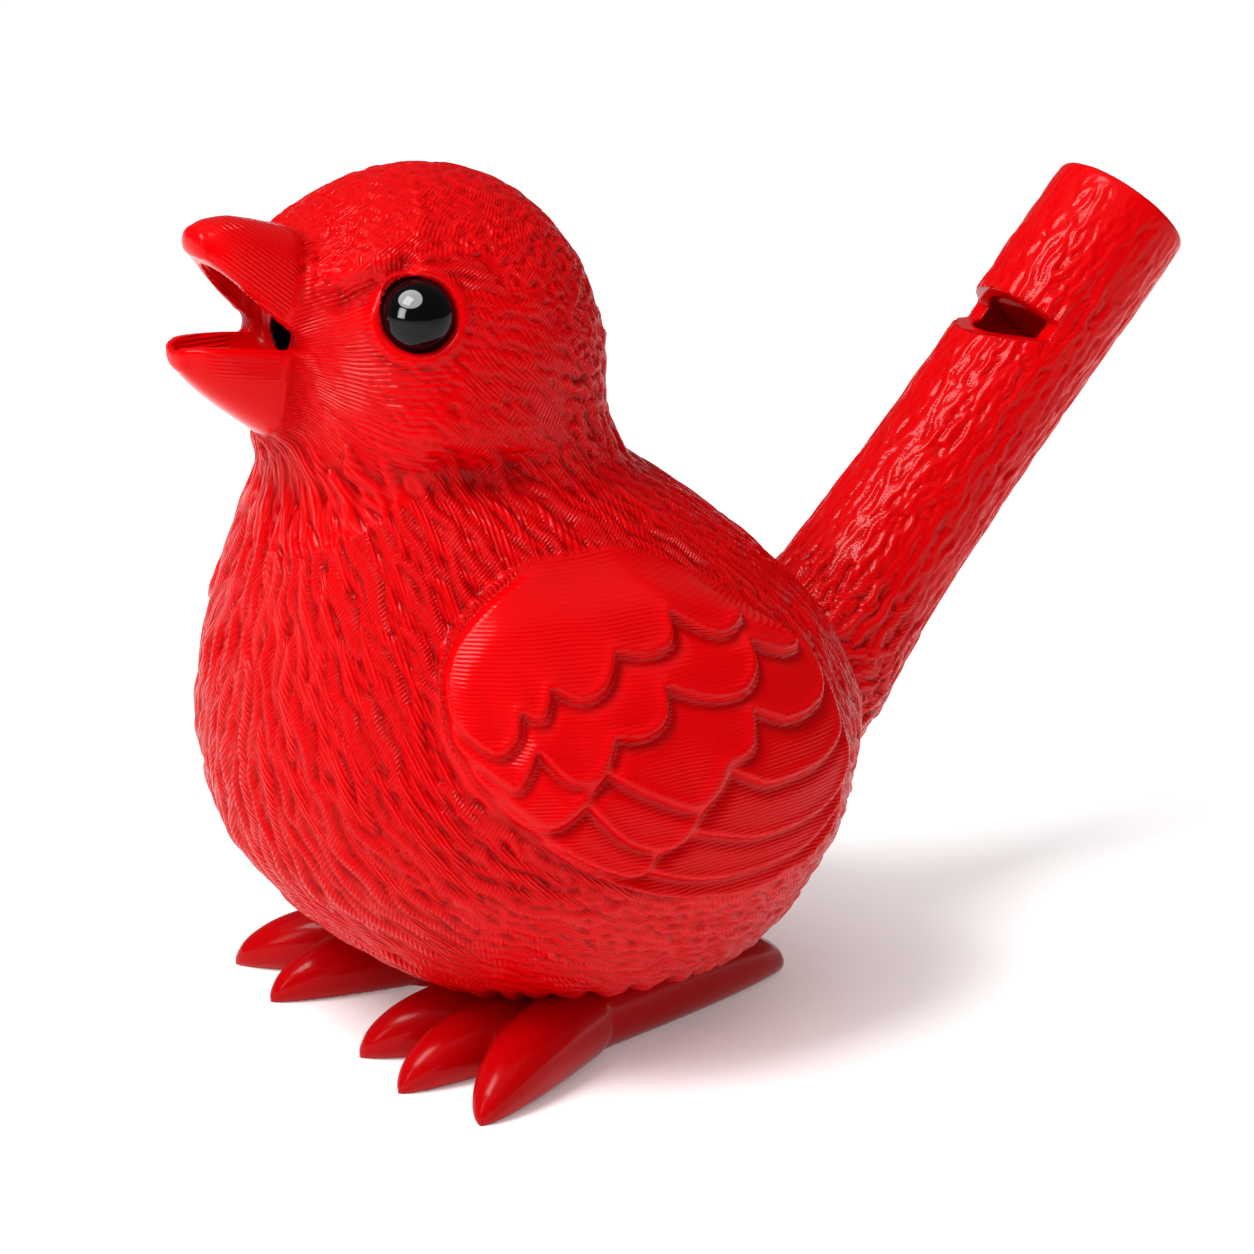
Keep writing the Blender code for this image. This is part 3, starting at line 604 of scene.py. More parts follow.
def rounded_edge(points):
    result = []
    for i in range(len(points) - 1):
        a = points[i]
        b = points[i + 1]
        before = points[i - 1] if i > 0 and not a[2] else a
        after = points[i + 2] if i + 2 < len(points) and not b[2] else b
        for step in range(8):
            t = step / 8.0
            spot = []
            for k in (0, 1):
                m0 = (b[k] - before[k]) / 2.0
                m1 = (after[k] - a[k]) / 2.0
                h0 = 2 * t ** 3 - 3 * t ** 2 + 1
                h1 = t ** 3 - 2 * t ** 2 + t
                h2 = -2 * t ** 3 + 3 * t ** 2
                h3 = t ** 3 - t ** 2
                spot.append(h0 * a[k] + h1 * m0 + h2 * b[k] + h3 * m1)
            result.append(tuple(spot))
    result.append(points[-1][:2])
    return result


def nearest_on_line(spots, line, closed=False):
    # Distance of each spot from a line, and how far along the line its nearest point lies
    gap = np.full(len(spots), 1e9)
    place = np.zeros(len(spots))
    line = np.asarray(line, float)
    so_far = 0.0
    for i in range(len(line) if closed else len(line) - 1):
        a = line[i]
        run = line[(i + 1) % len(line)] - a
        length = math.hypot(*run)
        t = np.clip(((spots - a) @ run) / max(run @ run, 1e-12), 0.0, 1.0)
        here = np.hypot(spots[:, 0] - a[0] - run[0] * t, spots[:, 1] - a[1] - run[1] * t)
        place = np.where(here < gap, so_far + t * length, place)
        gap = np.minimum(gap, here)
        so_far += length
    return gap, place


def inside_line(spots, line):
    hit = np.zeros(len(spots), bool)
    x = spots[:, 0]
    y = spots[:, 1]
    for i in range(len(line)):
        x1, y1 = line[i - 1]
        x2, y2 = line[i]
        if y1 == y2:
            continue
        crosses = (y1 > y) != (y2 > y)
        hit ^= crosses & (x < (x2 - x1) * (y - y1) / (y2 - y1) + x1)
    return hit


def row_lines(row_index):
    rim_start, rim_end, edge = WING_ROWS[row_index]
    # The rows on top reach past the rim here, and the rim then bounds them all
    keep = 1.0 if row_index == 0 else 1.06
    rim = [WING_CENTRE + (np.array(p) - WING_CENTRE) * keep for p in WING_RIM[rim_start:rim_end + 1]]
    # A closer rim, so that the edge of the wing curves
    rim_rows = np.array(rim)
    across, up = np.diff(rim_rows * [MM_PER_DEGREE, 1.0], axis=0).T
    rim_length = np.concatenate([[0.0], np.cumsum(np.hypot(across, up))])
    where = np.linspace(0.0, rim_length[-1], 8 * len(rim))
    fine = np.stack([smooth_curve(rim_length, rim_rows[:, k], where) for k in (0, 1)], axis=-1)
    trailing = [(rim[0][0], rim[0][1], 1)] + list(edge) + [(rim[-1][0], rim[-1][1], 1)]
    tips = np.array(rounded_edge(trailing))
    outline = np.vstack([tips[:-1], fine[:0:-1]])
    scale = np.array([MM_PER_DEGREE, 1.0])
    return outline * scale, tips * scale, fine * scale


def wing_relief(spots):
    # Height of the layered feathers and how far a spot lies inside the wing
    relief = np.zeros(len(spots))
    for row_index in range(len(WING_ROWS)):
        outline, tips, rim = row_lines(row_index)
        gap = nearest_on_line(spots, outline, closed=True)[0]
        deep = np.where(inside_line(spots, outline), gap, -gap)
        tip_gap = nearest_on_line(spots, tips)[0]
        rise = WING_LOWEST_RISE + WING_RISE_PER_ROW * row_index
        rise = rise + FEATHER_TIP_RISE * np.exp(-tip_gap / FEATHER_TIP_REACH)
        # A thin raised lip along the edge of each feather
        rise = rise + 0.10 * np.exp(-((tip_gap - 0.42) / 0.28) ** 2)
        cover = step_between(-0.16, 0.26, deep)
        # The feather below dips a little just outside the edge
        shade = 0.20 * np.exp(-((deep + 0.42) / 0.42) ** 2) * (deep < 0.3)
        relief = relief * (1.0 - cover) + rise * cover - shade * (relief > 0.3) * (1.0 - cover)
        if row_index == 0:
            inside_depth = deep
            wing_cover = cover
            rim_gap, rim_place = nearest_on_line(spots, rim)
    # The rim rises in a short rounded step and runs out flat at the top towards the rear
    flat_rear = step_between(26.0, 34.0, spots[:, 0]) * step_between(28.0, 33.0, spots[:, 1])
    first = 0.62 * (1.0 - flat_rear)
    shoulder = first * step_between(0.05, 0.8, rim_gap)
    shoulder = shoulder + (1.0 - first) * step_between(0.0, 2.6 + 1.6 * flat_rear, rim_gap)
    return relief * wing_cover * shoulder, inside_depth, rim_gap, rim_place


# Locks of plumage and fine lines

def flow_direction(points, normals):
    # Feathers run from the beak back over the head, down the breast and back along the belly
    beak = np.array([0.0, -27.0, 54.0])
    away = points - beak
    away = away / np.maximum(np.linalg.norm(away, axis=1, keepdims=True), 1e-6)
    low = step_between(27.0, 8.0, points[:, 2])
    away[:, 1] += 1.7 * low
    # The breast locks lean outwards from the middle line
    lean = 0.25 * np.sign(points[:, 0]) * np.clip(np.abs(points[:, 0]) / 8.0, 0.0, 1.0)
    away[:, 0] += lean * (points[:, 1] < -14.0)
    distance, across, up, radius = tail_place(points)
    on_tail = step_between(3.2, 0.6, radius - tail_radius(distance)) * step_between(46.0, 36.0, distance)
    away = away * (1.0 - on_tail)[:, None] + TAIL_DIRECTION * on_tail[:, None]
    flat = away - normals * np.sum(away * normals, axis=1, keepdims=True)
    return flat / np.maximum(np.linalg.norm(flat, axis=1, keepdims=True), 1e-6)


def spaced(points, normals, candidates, sizes):
    # Keep candidates so that the locks lie side by side and end to end, like laid bricks
    place = points[candidates]
    direction = flow_direction(place, normals[candidates])
    side = np.cross(normals[candidates], direction)
    cell = 3.6
    keys = np.floor(place / cell).astype(int)
    kept = {}
    result = []
    for i in range(len(candidates)):
        key = tuple(keys[i])
        near = []
        for dx in (-1, 0, 1):
            for dy in (-1, 0, 1):
                for dz in (-1, 0, 1):
                    near += kept.get((key[0] + dx, key[1] + dy, key[2] + dz), ())
        if near:
            offset = place[near] - place[i]
            along = offset @ direction[i] / (sizes[i, 0] * LOCK_GAP_ALONG)
            across = offset @ side[i] / (sizes[i, 1] * LOCK_GAP_ACROSS)
            if np.min(along ** 2 + across ** 2) < 1.0:
                continue
        kept.setdefault(key, []).append(i)
        result.append(i)
    return np.array(result)


def scattered(points, mask, cell, random):
    # One point of the skin in each small cube that it passes through
    chosen = np.flatnonzero(mask)
    chosen = chosen[random.permutation(len(chosen))]
    shift = random.random(3) * cell
    cells = np.floor((points[chosen] + shift) / cell).astype(np.int64)
    keys = (cells[:, 0] * 4001 + cells[:, 1]) * 4001 + cells[:, 2]
    _, first = np.unique(keys, return_index=True)
    return chosen[np.sort(first)]


def lay_locks(skin, tree, centres, sizes, relief, grain, random):
    # Raise a tapered, slightly winding ridge at each centre
    points = skin.points
    normals = skin.normals
    place = points[centres]
    normal = normals[centres]
    direction = flow_direction(place, normal)
    side = np.cross(normal, direction)
    for i in range(len(centres)):
        length, width, height, winding, spread, hair = sizes[i]
        lean = random.normal() * spread
        d = direction[i] * math.cos(lean) + side[i] * math.sin(lean)
        s = np.cross(normal[i], d)
        bend = random.normal() * 0.018
        phase = random.random() * TURN
        wave = length * (0.45 + 0.3 * random.random())
        slant = float(random.random() < 0.5)
        tone = 0.85 + 0.3 * random.random()
        found = tree.find_range(Vector(place[i]), length * 0.5 + width * 0.3)
        if len(found) < 3:
            continue
        index = np.fromiter((f[1] for f in found), int, len(found))
        offset = points[index] - place[i]
        along = offset @ d
        across = offset @ s
        across = across - bend * along ** 2 - winding * np.sin(along * TURN / wave + phase)
        t = along / (length * 0.5)
        taper = np.sqrt(np.maximum(1.0 - t * t, 0.0))
        u = across / (width * 0.5 * (0.35 + 0.65 * taper))
        keep = (np.abs(t) < 1.0) & (np.abs(u) < 1.0) & (normals[index] @ normal[i] > 0.2)
        rise = height * tone * taper ** 0.6 * np.maximum(1.0 - u * u, 0.0) ** 0.6
        better = keep & (rise > relief[index])
        hit = index[better]
        relief[hit] = rise[better]
        grain[hit, 0] = slant
        grain[hit, 1] = hair * np.clip(1.3 - u[better] ** 2, 0.0, 1.0) * taper[better] ** 0.4


def lock_sizes(points, random):
    # Length, width, height, winding, spread of direction and hairs of the locks by region
    angle, height, outside = body_place(points)
    swing = np.abs(angle)
    distance, across, up, radius = tail_place(points)
    count = len(points)
    sizes = np.zeros((count, 6))
    sizes[:] = (7.5, 1.20, 0.52, 0.18, 0.08, 1.0)
    breast = (swing < 36.0) & (height < 44.0)
    sizes[breast] = (8.5, 1.65, 0.66, 0.20, 0.08, 1.0)
    back = (swing > 118.0) & (height < 47.0)
    sizes[back] = (4.4, 1.05, 0.50, 0.12, 0.14, 0.4)
    nape = (swing > 100.0) & (height >= 42.0)
    sizes[nape] = (3.8, 1.10, 0.58, 0.18, 0.22, 0.5)
    crown = (height > 57.5) | ((height > 50.0) & (swing > 95.0))
    sizes[crown] = (3.0, 0.85, 0.34, 0.26, 0.34, 0.5)
    forehead = (height > 55.0) & (swing < 60.0)
    sizes[forehead] = (2.8, 0.75, 0.25, 0.28, 0.34, 0.7)
    cheek = (swing > 52.0) & (swing < 112.0) & (height > 43.0) & (height < 55.5)
    sizes[cheek] = (3.8, 0.70, 0.24, 0.10, 0.10, 0.5)
    lore = (swing < 52.0) & (height > 43.0) & (height <= 55.0)
    sizes[lore] = (3.4, 0.75, 0.12, 0.12, 0.12, 1.0)
    flank = (height < 16.0) & (swing > 45.0)
    sizes[flank] = (3.8, 1.1, 0.36, 0.14, 0.12, 0.4)
    tail = (np.abs(radius - tail_radius(distance)) < 1.0) & (distance < 36.0)
    sizes[tail] = (4.4, 0.85, 0.30, 0.10, 0.12, 0.0)
    near_end = tail & (distance < 7.0)
    sizes[near_end] = (3.4, 0.85, 0.20, 0.10, 0.12, 0.0)
    sizes[:, 0] *= 0.75 + 0.5 * random.random(count)
    sizes[:, 1] *= 0.8 + 0.4 * random.random(count)
    return sizes


def lock_heights(points):
    quiet = np.random.default_rng(SEED + 1)
    return lock_sizes(points, quiet)[:, 2] * 0.85


def beak_lines(points, beak_share):
    # Fine lines along the edges of both beak halves
    y = points[:, 1]
    z = points[:, 2]
    upper = z > 51.0 - 0.5 * (y + 26.0)
    slope = (y * 6.7 + z * 7.4) / 9.98
    level = z + 0.08 * y
    phase = np.where(upper, slope, level) * (TURN / BEAK_LINE_PERIOD)
    rim = smooth_curve([-35.0, -32.4, -28.0, -21.5], [51.9, 51.9, 51.4, 50.5], y)
    below_rim = step_between(-34.4, -32.6, y) * step_between(2.6, 1.2, rim - z)
    amount = np.where(upper, step_between(-33.0, -31.2, y), below_rim)
    return phase, amount * step_between(0.35, 0.7, beak_share)


def face_lines(skin):
    # Fine wavy lines that spread from the gape over lore, cheek and throat
    x = np.abs(skin.points[:, 0])
    y = skin.points[:, 1]
    z = skin.points[:, 2]
    wave = 0.9 * np.sin(1.9 * z + 0.7 * x) + 1.3 * np.sin(1.1 * y + 0.5) + 0.8 * np.sin(2.6 * x + 1.3 * z)
    phase = np.arctan2(x, z - 50.5) * 7.5 * (TURN / FACE_LINE_PERIOD) + wave
    from_gape = np.hypot(np.hypot(x, y + 27.0), z - 50.5)
    amount = step_between(14.0, 9.5, from_gape) * (y < -14.0) * step_between(57.0, 54.5, z)
    return phase, amount * (np.abs(skin.outside) < 1.6)


def fused_skin():
    # The red moulding without its feet
    body = body_solid()
    upper = beak_solid("upper", UPPER_BEAK, UPPER_BEAK_TIP, UPPER_EDGE_SHARE)
    lower = beak_solid("lower", LOWER_BEAK, LOWER_BEAK_TIP, LOWER_EDGE_SHARE)
    mouth = [pocket_solid(), hole_solid()]
    for item in (body, upper, lower):
        for tool in mouth:
            cut(item, tool)
    for tool in mouth:
        drop(tool)
    for side in SIDES:
        socket = socket_solid(side)
        cut(body, socket)
        drop(socket)
    tail = tail_solid()
    window = window_solid()
    cut(tail, window)
    drop(window)
    return fuse("skin", [body, upper, lower, tail])


def tube_outward(across, up, radius):
    return (TAIL_UP * up[:, None] + X_AXIS * across[:, None]) / np.maximum(radius, 1e-6)[:, None]


def from_eye(points, side):
    # Depth under the face at the eye, and distance from the eye's axis
    centre, normal, across, up = eye_frame(side)
    offset = points - centre
    return offset @ normal, np.hypot(offset @ across, offset @ up)


def levelled(points, normals, off_surface, outward, level):
    # Takes the steps of the voxels out of an open surface, and gives it its true normals
    level = level * step_between(0.5, 0.9, np.sum(outward * normals, axis=1))
    points = points - outward * (off_surface * level)[:, None]
    return points, normals * (1.0 - level)[:, None] + outward * level[:, None]


def smooth_skin():
    # The fused skin, softened and levelled, with what is known of each of its points
    points, quads = fused_skin()
    normals = vertex_normals(points, quads)
    angle, height, outside = body_place(points)
    distance, across, up, radius = tail_place(points)
    tail = (distance < 34.0) & (radius < 7.5) & (outside > -0.3)
    facing_out = np.sum(tube_outward(across, up, radius) * normals, axis=1)
    front = (points[:, 1] < -24.0) & (height > 40.0) & (height < 61.5)
    beak_share = np.where(front, step_between(1.0, 2.2, outside), 0.0)
    in_mouth = front & (np.abs(points[:, 0]) < 3.4) & (height > 49.6) & (height < 57.4) & (outside < 3.0)
    in_mouth &= (normals[:, 1] > -0.35) | (outside < -0.12)

    # Soften the creases where the beak and the tail grow out of the body
    crease = np.where(front & ~in_mouth, np.exp(-(outside / 1.3) ** 2), 0.0)
    crease = np.where(front & (normals[:, 1] > 0.0), 0.0, crease)
    root = np.exp(-((distance - TAIL_ROOT) / 2.5) ** 2) * (radius < 9.5) * (outside < 2.5)
    soften = np.clip(crease + root * (radius > 4.6), 0.0, 1.0) * 0.5
    points = smoothed(points, quads, soften, SOFT_ROUNDS)
    normals = vertex_normals(points, quads)

    angle, height, outside = body_place(points)
    level = step_between(0.32, 0.16, np.abs(outside)) * (height < 61.0) * (height > 4.0) * (1.0 - soften)
    level = np.where(front & (np.abs(points[:, 0]) < 7.0) & (outside > 0.02), 0.0, level)
    points, normals = levelled(points, normals, outside, body_normal(angle, height), level)
    distance, across, up, radius = tail_place(points)
    off_tube = radius - tail_radius(distance)
    level = step_between(0.32, 0.16, np.abs(off_tube)) * (distance > 0.8) * (distance < 33.0)
    level = level * step_between(0.4, 1.4, outside) * (1.0 - soften)
    points, normals = levelled(points, normals, off_tube, tube_outward(across, up, radius), level)
    normals = normals / np.linalg.norm(normals, axis=1, keepdims=True)

    # No plumage on the beak, in the mouth and the bore, at the window and around the eyes
    plain = np.maximum(beak_share, in_mouth * 1.0)
    bore = (radius < 4.7) & (distance < BORE_DEPTH + 1.0) & (distance > -1.0)
    plain = np.where(bore | (tail & (facing_out < 0.75)), 1.0, plain)
    plain = np.where(tail, np.maximum(plain, step_between(1.6, 0.3, distance)), plain)
    for side in SIDES:
        depth, from_axis = from_eye(points, side)
        plain = np.maximum(plain, step_between(3.5, 2.75, from_axis) * (np.abs(depth) < 3.0))
    skin = Skin()
    skin.quads = quads
    skin.points = points
    skin.normals = normals
    skin.angle = angle
    skin.height = height
    skin.outside = outside
    skin.distance = distance
    skin.radius = radius
    skin.tail = tail
    skin.beak_share = beak_share
    skin.plain = plain
    return skin


def add_wings(skin):
    # Relief of the feathers on both sides
    count = len(skin.points)
    skin.wing = np.zeros(count)
    skin.wing_depth = np.full(count, -9.0)
    skin.rim_gap = np.full(count, 9.0)
    skin.rim_place = np.zeros(count)
    for side in SIDES:
        swing = skin.angle * side
        mine = (swing > 40.0) & (swing < 140.0) & (skin.height > 11.0) & (skin.height < 41.0)
        mine &= (skin.outside < 1.0) & ~(skin.tail & (skin.outside > 0.35))
        sideways = (swing[mine] - WING_TURN_DEG) * MM_PER_DEGREE
        spots = np.stack([sideways, skin.height[mine] - WING_LIFT], axis=-1)
        fields = (skin.wing, skin.wing_depth, skin.rim_gap, skin.rim_place)
        for field, values in zip(fields, wing_relief(spots)):
            field[mine] = values
    skin.on_wing = step_between(-0.5, 0.15, skin.wing_depth)
    skin.plumage = (1.0 - skin.plain) * (1.0 - skin.on_wing)


def face_relief(skin):
    # Folds under the brow and the cheek, and the lid around each eye
    face = np.zeros(len(skin.points))
    near = (skin.height > 40.0) & (~skin.tail) & (skin.outside < 1.0)
    spots = np.stack([np.abs(skin.angle[near]) * HEAD_MM_PER_DEGREE, skin.height[near]], axis=-1)
    for line, width, depth in FACE_FOLDS:
        gap = nearest_on_line(spots, [(a * HEAD_MM_PER_DEGREE, h) for a, h in line])[0]
        face[near] += depth * np.exp(-(gap / width) ** 2)
    for side in SIDES:
        depth, from_axis = from_eye(skin.points, side)
        lid = np.exp(-((from_axis - 2.95) / 0.45) ** 2) * (np.abs(depth) < 2.5) * (from_axis > 2.3)
        face += EYE_LID_RISE * lid
    return face


def grow_locks(skin):
    # Height of the locks, the side to which their hairs lean and how strong these are
    random = np.random.default_rng(SEED)
    tree = kdtree.KDTree(len(skin.points))
    for i, p in enumerate(skin.points.tolist()):
        tree.insert(p, i)
    tree.balance()
    relief = np.zeros(len(skin.points))
    grain = np.zeros((len(skin.points), 2))
    grow = (skin.plumage > 0.02) & (skin.points[:, 2] > 3.0)
    # Small locks fill the gaps that the large ones leave
    for cell, scale in ((0.5, LARGE_LOCK_SCALE), (0.45, SMALL_LOCK_SCALE)):
        bare = grow & (relief < 0.3 * lock_heights(skin.points))
        candidates = scattered(skin.points, bare, cell, random)
        candidates = candidates[random.permutation(len(candidates))]
        sizes = lock_sizes(skin.points[candidates], random) * np.array(scale)
        kept = spaced(skin.points, skin.normals, candidates, sizes)
        lay_locks(skin, tree, candidates[kept], sizes[kept], relief, grain, random)
    return np.maximum(relief, 0.3 * lock_heights(skin.points)), grain


def hair_fields(skin, grain, thread):
    # Hairs lean one way or the other on each lock; beak, face and wing rim have lines of their own
    girth = np.abs(np.radians(skin.angle)) * body_depth(skin.height)
    left = (0.6 * skin.height + 0.8 * girth) * (TURN / HAIR_PERIOD)
    right = (0.6 * skin.height - 0.8 * girth) * (TURN / HAIR_PERIOD)
    strength = grain[:, 1] * skin.plumage * step_between(0.3, 0.1, skin.beak_share)
    beak_phase, beak_amount = beak_lines(skin.points, skin.beak_share)
    face_phase, face_amount = face_lines(skin)
    face_amount = face_amount * skin.plumage
    thread_phase = (skin.rim_place + 0.8 * skin.rim_gap) * (TURN / THREAD_TWIST)
    thread_amount = 2.4 * thread * step_between(6.0, 10.0, skin.rim_place)
    zone = np.zeros(len(skin.points), int)
    lines = [
        (beak_amount > strength, beak_phase, beak_amount),
        (face_amount > 0.05, face_phase, face_amount),
        (thread > 0.2, thread_phase, thread_amount),
    ]
    for number, (here, phase, amount) in enumerate(lines):
        left[here] = phase[here]
        right[here] = phase[here]
        strength[here] = amount[here]
        zone[here] = number + 1
    # Lines of different zones don't run into one another
    for k in range(4):
        split = zone[skin.quads[:, k]] != zone[skin.quads[:, (k + 1) % 4]]
        strength[skin.quads[split].ravel()] = 0.0
    return {"hair_left": left, "hair_right": right, "hair_side": grain[:, 0], "hair_amount": strength}


def painted_groove_shade(skin, shift):
    # How far each place lies below its neighbours, as painted shade in the grooves; the mouth's deep hole
    # gets painted black shade
    around = smoothed(shift, skin.quads, np.ones(len(shift)), 12)
    groove_shade = np.clip((around - shift) / GROOVE_DEPTH, 0.0, 1.0)
    groove_shade = groove_shade * (1.0 - 0.4 * step_between(50.0, 56.0, skin.height)) * (1.0 - 0.5 * skin.on_wing)
    groove_shade = np.where(skin.tail, 0.5 * groove_shade, groove_shade)
    radius, level, front, back = MOUTH_HOLE
    y = skin.points[:, 1]
    deep = (np.hypot(skin.points[:, 0], skin.height - level) < radius + 0.1) & (skin.outside < -0.3)
    deep &= (y > front + 0.4) & (y < back + 0.5)
    return np.where(deep, DEEP_HOLE_SHADE, groove_shade)


def bark_field(skin):
    off_tube = np.abs(skin.radius - tail_radius(skin.distance))
    bark = step_between(1.2, 0.5, off_tube) * step_between(42.0, 37.0, skin.distance)
    bark = bark * step_between(-0.4, 0.6, skin.outside) * step_between(0.5, 7.0, skin.distance)
    return bark * skin.plumage


def build_skin():
    skin = smooth_skin()
    add_wings(skin)
    locks, grain = grow_locks(skin)
    sink = smoothed(lock_heights(skin.points), skin.quads, np.ones(len(locks)), 60)
    sink = sink + CROWN_SINK * step_between(54.0, 60.0, skin.height) * (~skin.tail)
    shift = locks * skin.plumage - sink * skin.plumage
    shift = shift + skin.wing + face_relief(skin) * (1.0 - 0.8 * skin.beak_share)
    # Scallops of the lower hem, under the belly
    hem = np.exp(-((skin.height - HEM_HEIGHT) / 1.0) ** 2) * skin.plumage * (~skin.tail)
    waves = np.abs(np.sin(np.radians(skin.angle) * 18.0 + 0.6 * np.sin(skin.angle * 0.13)))
    shift = shift + HEM_RISE * hem * (waves - 0.6)
    # Raised thread along the front and top of the wing
    thread = np.exp(-(skin.rim_gap / THREAD_HALF_WIDTH) ** 2) * (skin.wing_depth > -2.0)
    thread = thread * step_between(1.5, 4.0, skin.rim_place) * step_between(27.0, 22.0, skin.rim_place)
    shift = shift + THREAD_RISE * thread
    layers = hair_fields(skin, grain, thread)
    # Painted shade for the grooves and the mouth's deep hole
    layers["groove_shade"] = painted_groove_shade(skin, shift)
    layers["bark"] = bark_field(skin)
    layers["wing_lines"] = skin.on_wing
    skin.points = skin.points + skin.normals * shift[:, None]
    return skin, layers


def smooth_object(name, points, quads, normals, layers):
    mesh = bpy.data.meshes.new(name)
    world = points * MM
    world = world - np.array([0.0, ORIGIN_Y * MM, 0.0])
    mesh.vertices.add(len(world))
    mesh.vertices.foreach_set("co", world.astype(np.float32).ravel())
    mesh.loops.add(len(quads) * 4)
    mesh.loops.foreach_set("vertex_index", quads.astype(np.int32).ravel())
    mesh.polygons.add(len(quads))
    mesh.polygons.foreach_set("loop_start", (np.arange(len(quads)) * 4).astype(np.int32))
    mesh.update(calc_edges=True)
    mesh.validate()
    mesh.shade_smooth()
    for layer, values in layers.items():
        mesh.attributes.new(layer, "FLOAT", "POINT").data.foreach_set("value", values.astype(np.float32))
    mesh.normals_split_custom_set_from_vertices([tuple(n) for n in normals])
    item = bpy.data.objects.new(name, mesh)
    bpy.context.scene.collection.objects.link(item)
    return item


def split_skin(points, quads, regions, names, layers):
    # Separate pieces share the normals of the whole skin, so no seam shows between them
    normals = vertex_normals(points, quads)
    items = []
    for number, name in enumerate(names):
        used, local = np.unique(quads[regions == number], return_inverse=True)
        part_layers = {key: value[used] for key, value in layers.items()}
        items.append(smooth_object(name, points[used], local.reshape(-1, 4), normals[used], part_layers))
    return items


# Materials

def new_material(name):
    material = bpy.data.materials.new(name)
    material.use_nodes = True
    tree = material.node_tree
    return material, tree, tree.nodes["Principled BSDF"]


def node(tree, kind, **values):
    item = tree.nodes.new(kind)
    for key, value in values.items():
        setattr(item, key, value)
    return item


def set_inputs(item, values):
    for key, value in values.items():
        item.inputs[key].default_value = value


def math_node(tree, operation, a, b=None):
    item = node(tree, "ShaderNodeMath", operation=operation)
    for socket, value in ((0, a), (1, b)):
        if value is None:
            continue
        if isinstance(value, (int, float)):
            item.inputs[socket].default_value = value
        else:
            tree.links.new(value, item.inputs[socket])
    return item.outputs[0]


def attribute(tree, name):
    return node(tree, "ShaderNodeAttribute", attribute_name=name).outputs["Fac"]


def noise(tree, vector, scale, detail=2.0):
    item = node(tree, "ShaderNodeTexNoise")
    set_inputs(item, {"Scale": scale, "Detail": detail})
    tree.links.new(vector, item.inputs["Vector"])
    return item.outputs["Fac"]


def gloss_between(tree, shader, value, low, high, from_low=0.0, from_high=1.0):
    item = node(tree, "ShaderNodeMapRange")
    set_inputs(item, {"From Min": from_low, "From Max": from_high, "To Min": low, "To Max": high})
    tree.links.new(value, item.inputs["Value"])
    tree.links.new(item.outputs["Result"], shader.inputs["Roughness"])


def mixed(tree, factor, a, b):
    # A is a colour or a socket, B a colour
    item = node(tree, "ShaderNodeMix", data_type="RGBA")
    item.inputs["B"].default_value = b
    if isinstance(a, tuple):
        item.inputs["A"].default_value = a
    else:
        tree.links.new(a, item.inputs["A"])
    tree.links.new(factor, item.inputs["Factor"])
    return item.outputs["Result"]


def plumage_height(tree, place, height):
    # Slanting hairs on each lock
    left = math_node(tree, "SINE", attribute(tree, "hair_left"))
    right = math_node(tree, "SINE", attribute(tree, "hair_right"))
    across = math_node(tree, "SUBTRACT", right, left)
    turned = math_node(tree, "MULTIPLY", across, attribute(tree, "hair_side"))
    hair = math_node(tree, "ADD", left, turned)
    hair = math_node(tree, "MULTIPLY", hair, attribute(tree, "hair_amount"))
    height = math_node(tree, "ADD", height, math_node(tree, "MULTIPLY", hair, HAIR_BUMP))
    # Level lines on the wing feathers
    split = node(tree, "ShaderNodeSeparateXYZ")
    tree.links.new(place, split.inputs["Vector"])
    level = math_node(tree, "MULTIPLY", split.outputs["Z"], TURN / WING_LINE_PERIOD)
    level = math_node(tree, "ADD", level, math_node(tree, "MULTIPLY", noise(tree, place, 160.0), 14.0))
    lines = math_node(tree, "MULTIPLY", math_node(tree, "SINE", level), attribute(tree, "wing_lines"))
    height = math_node(tree, "ADD", height, math_node(tree, "MULTIPLY", lines, WING_LINE_BUMP))
    # Bark along the tail tube: noise drawn out along its axis
    drawn = node(tree, "ShaderNodeCombineXYZ")
    tree.links.new(split.outputs["X"], drawn.inputs["X"])
    for axis, direction in (("Y", TAIL_UP), ("Z", TAIL_DIRECTION * BARK_STRETCH)):
        dot = node(tree, "ShaderNodeVectorMath", operation="DOT_PRODUCT")
        dot.inputs[1].default_value = tuple(direction)
        tree.links.new(place, dot.inputs[0])
        tree.links.new(dot.outputs["Value"], drawn.inputs[axis])
    bark = noise(tree, drawn.outputs["Vector"], 1200.0, 1.5)
    ridges = math_node(tree, "MULTIPLY", bark, attribute(tree, "bark"))
    return math_node(tree, "ADD", height, math_node(tree, "MULTIPLY", ridges, BARK_BUMP))


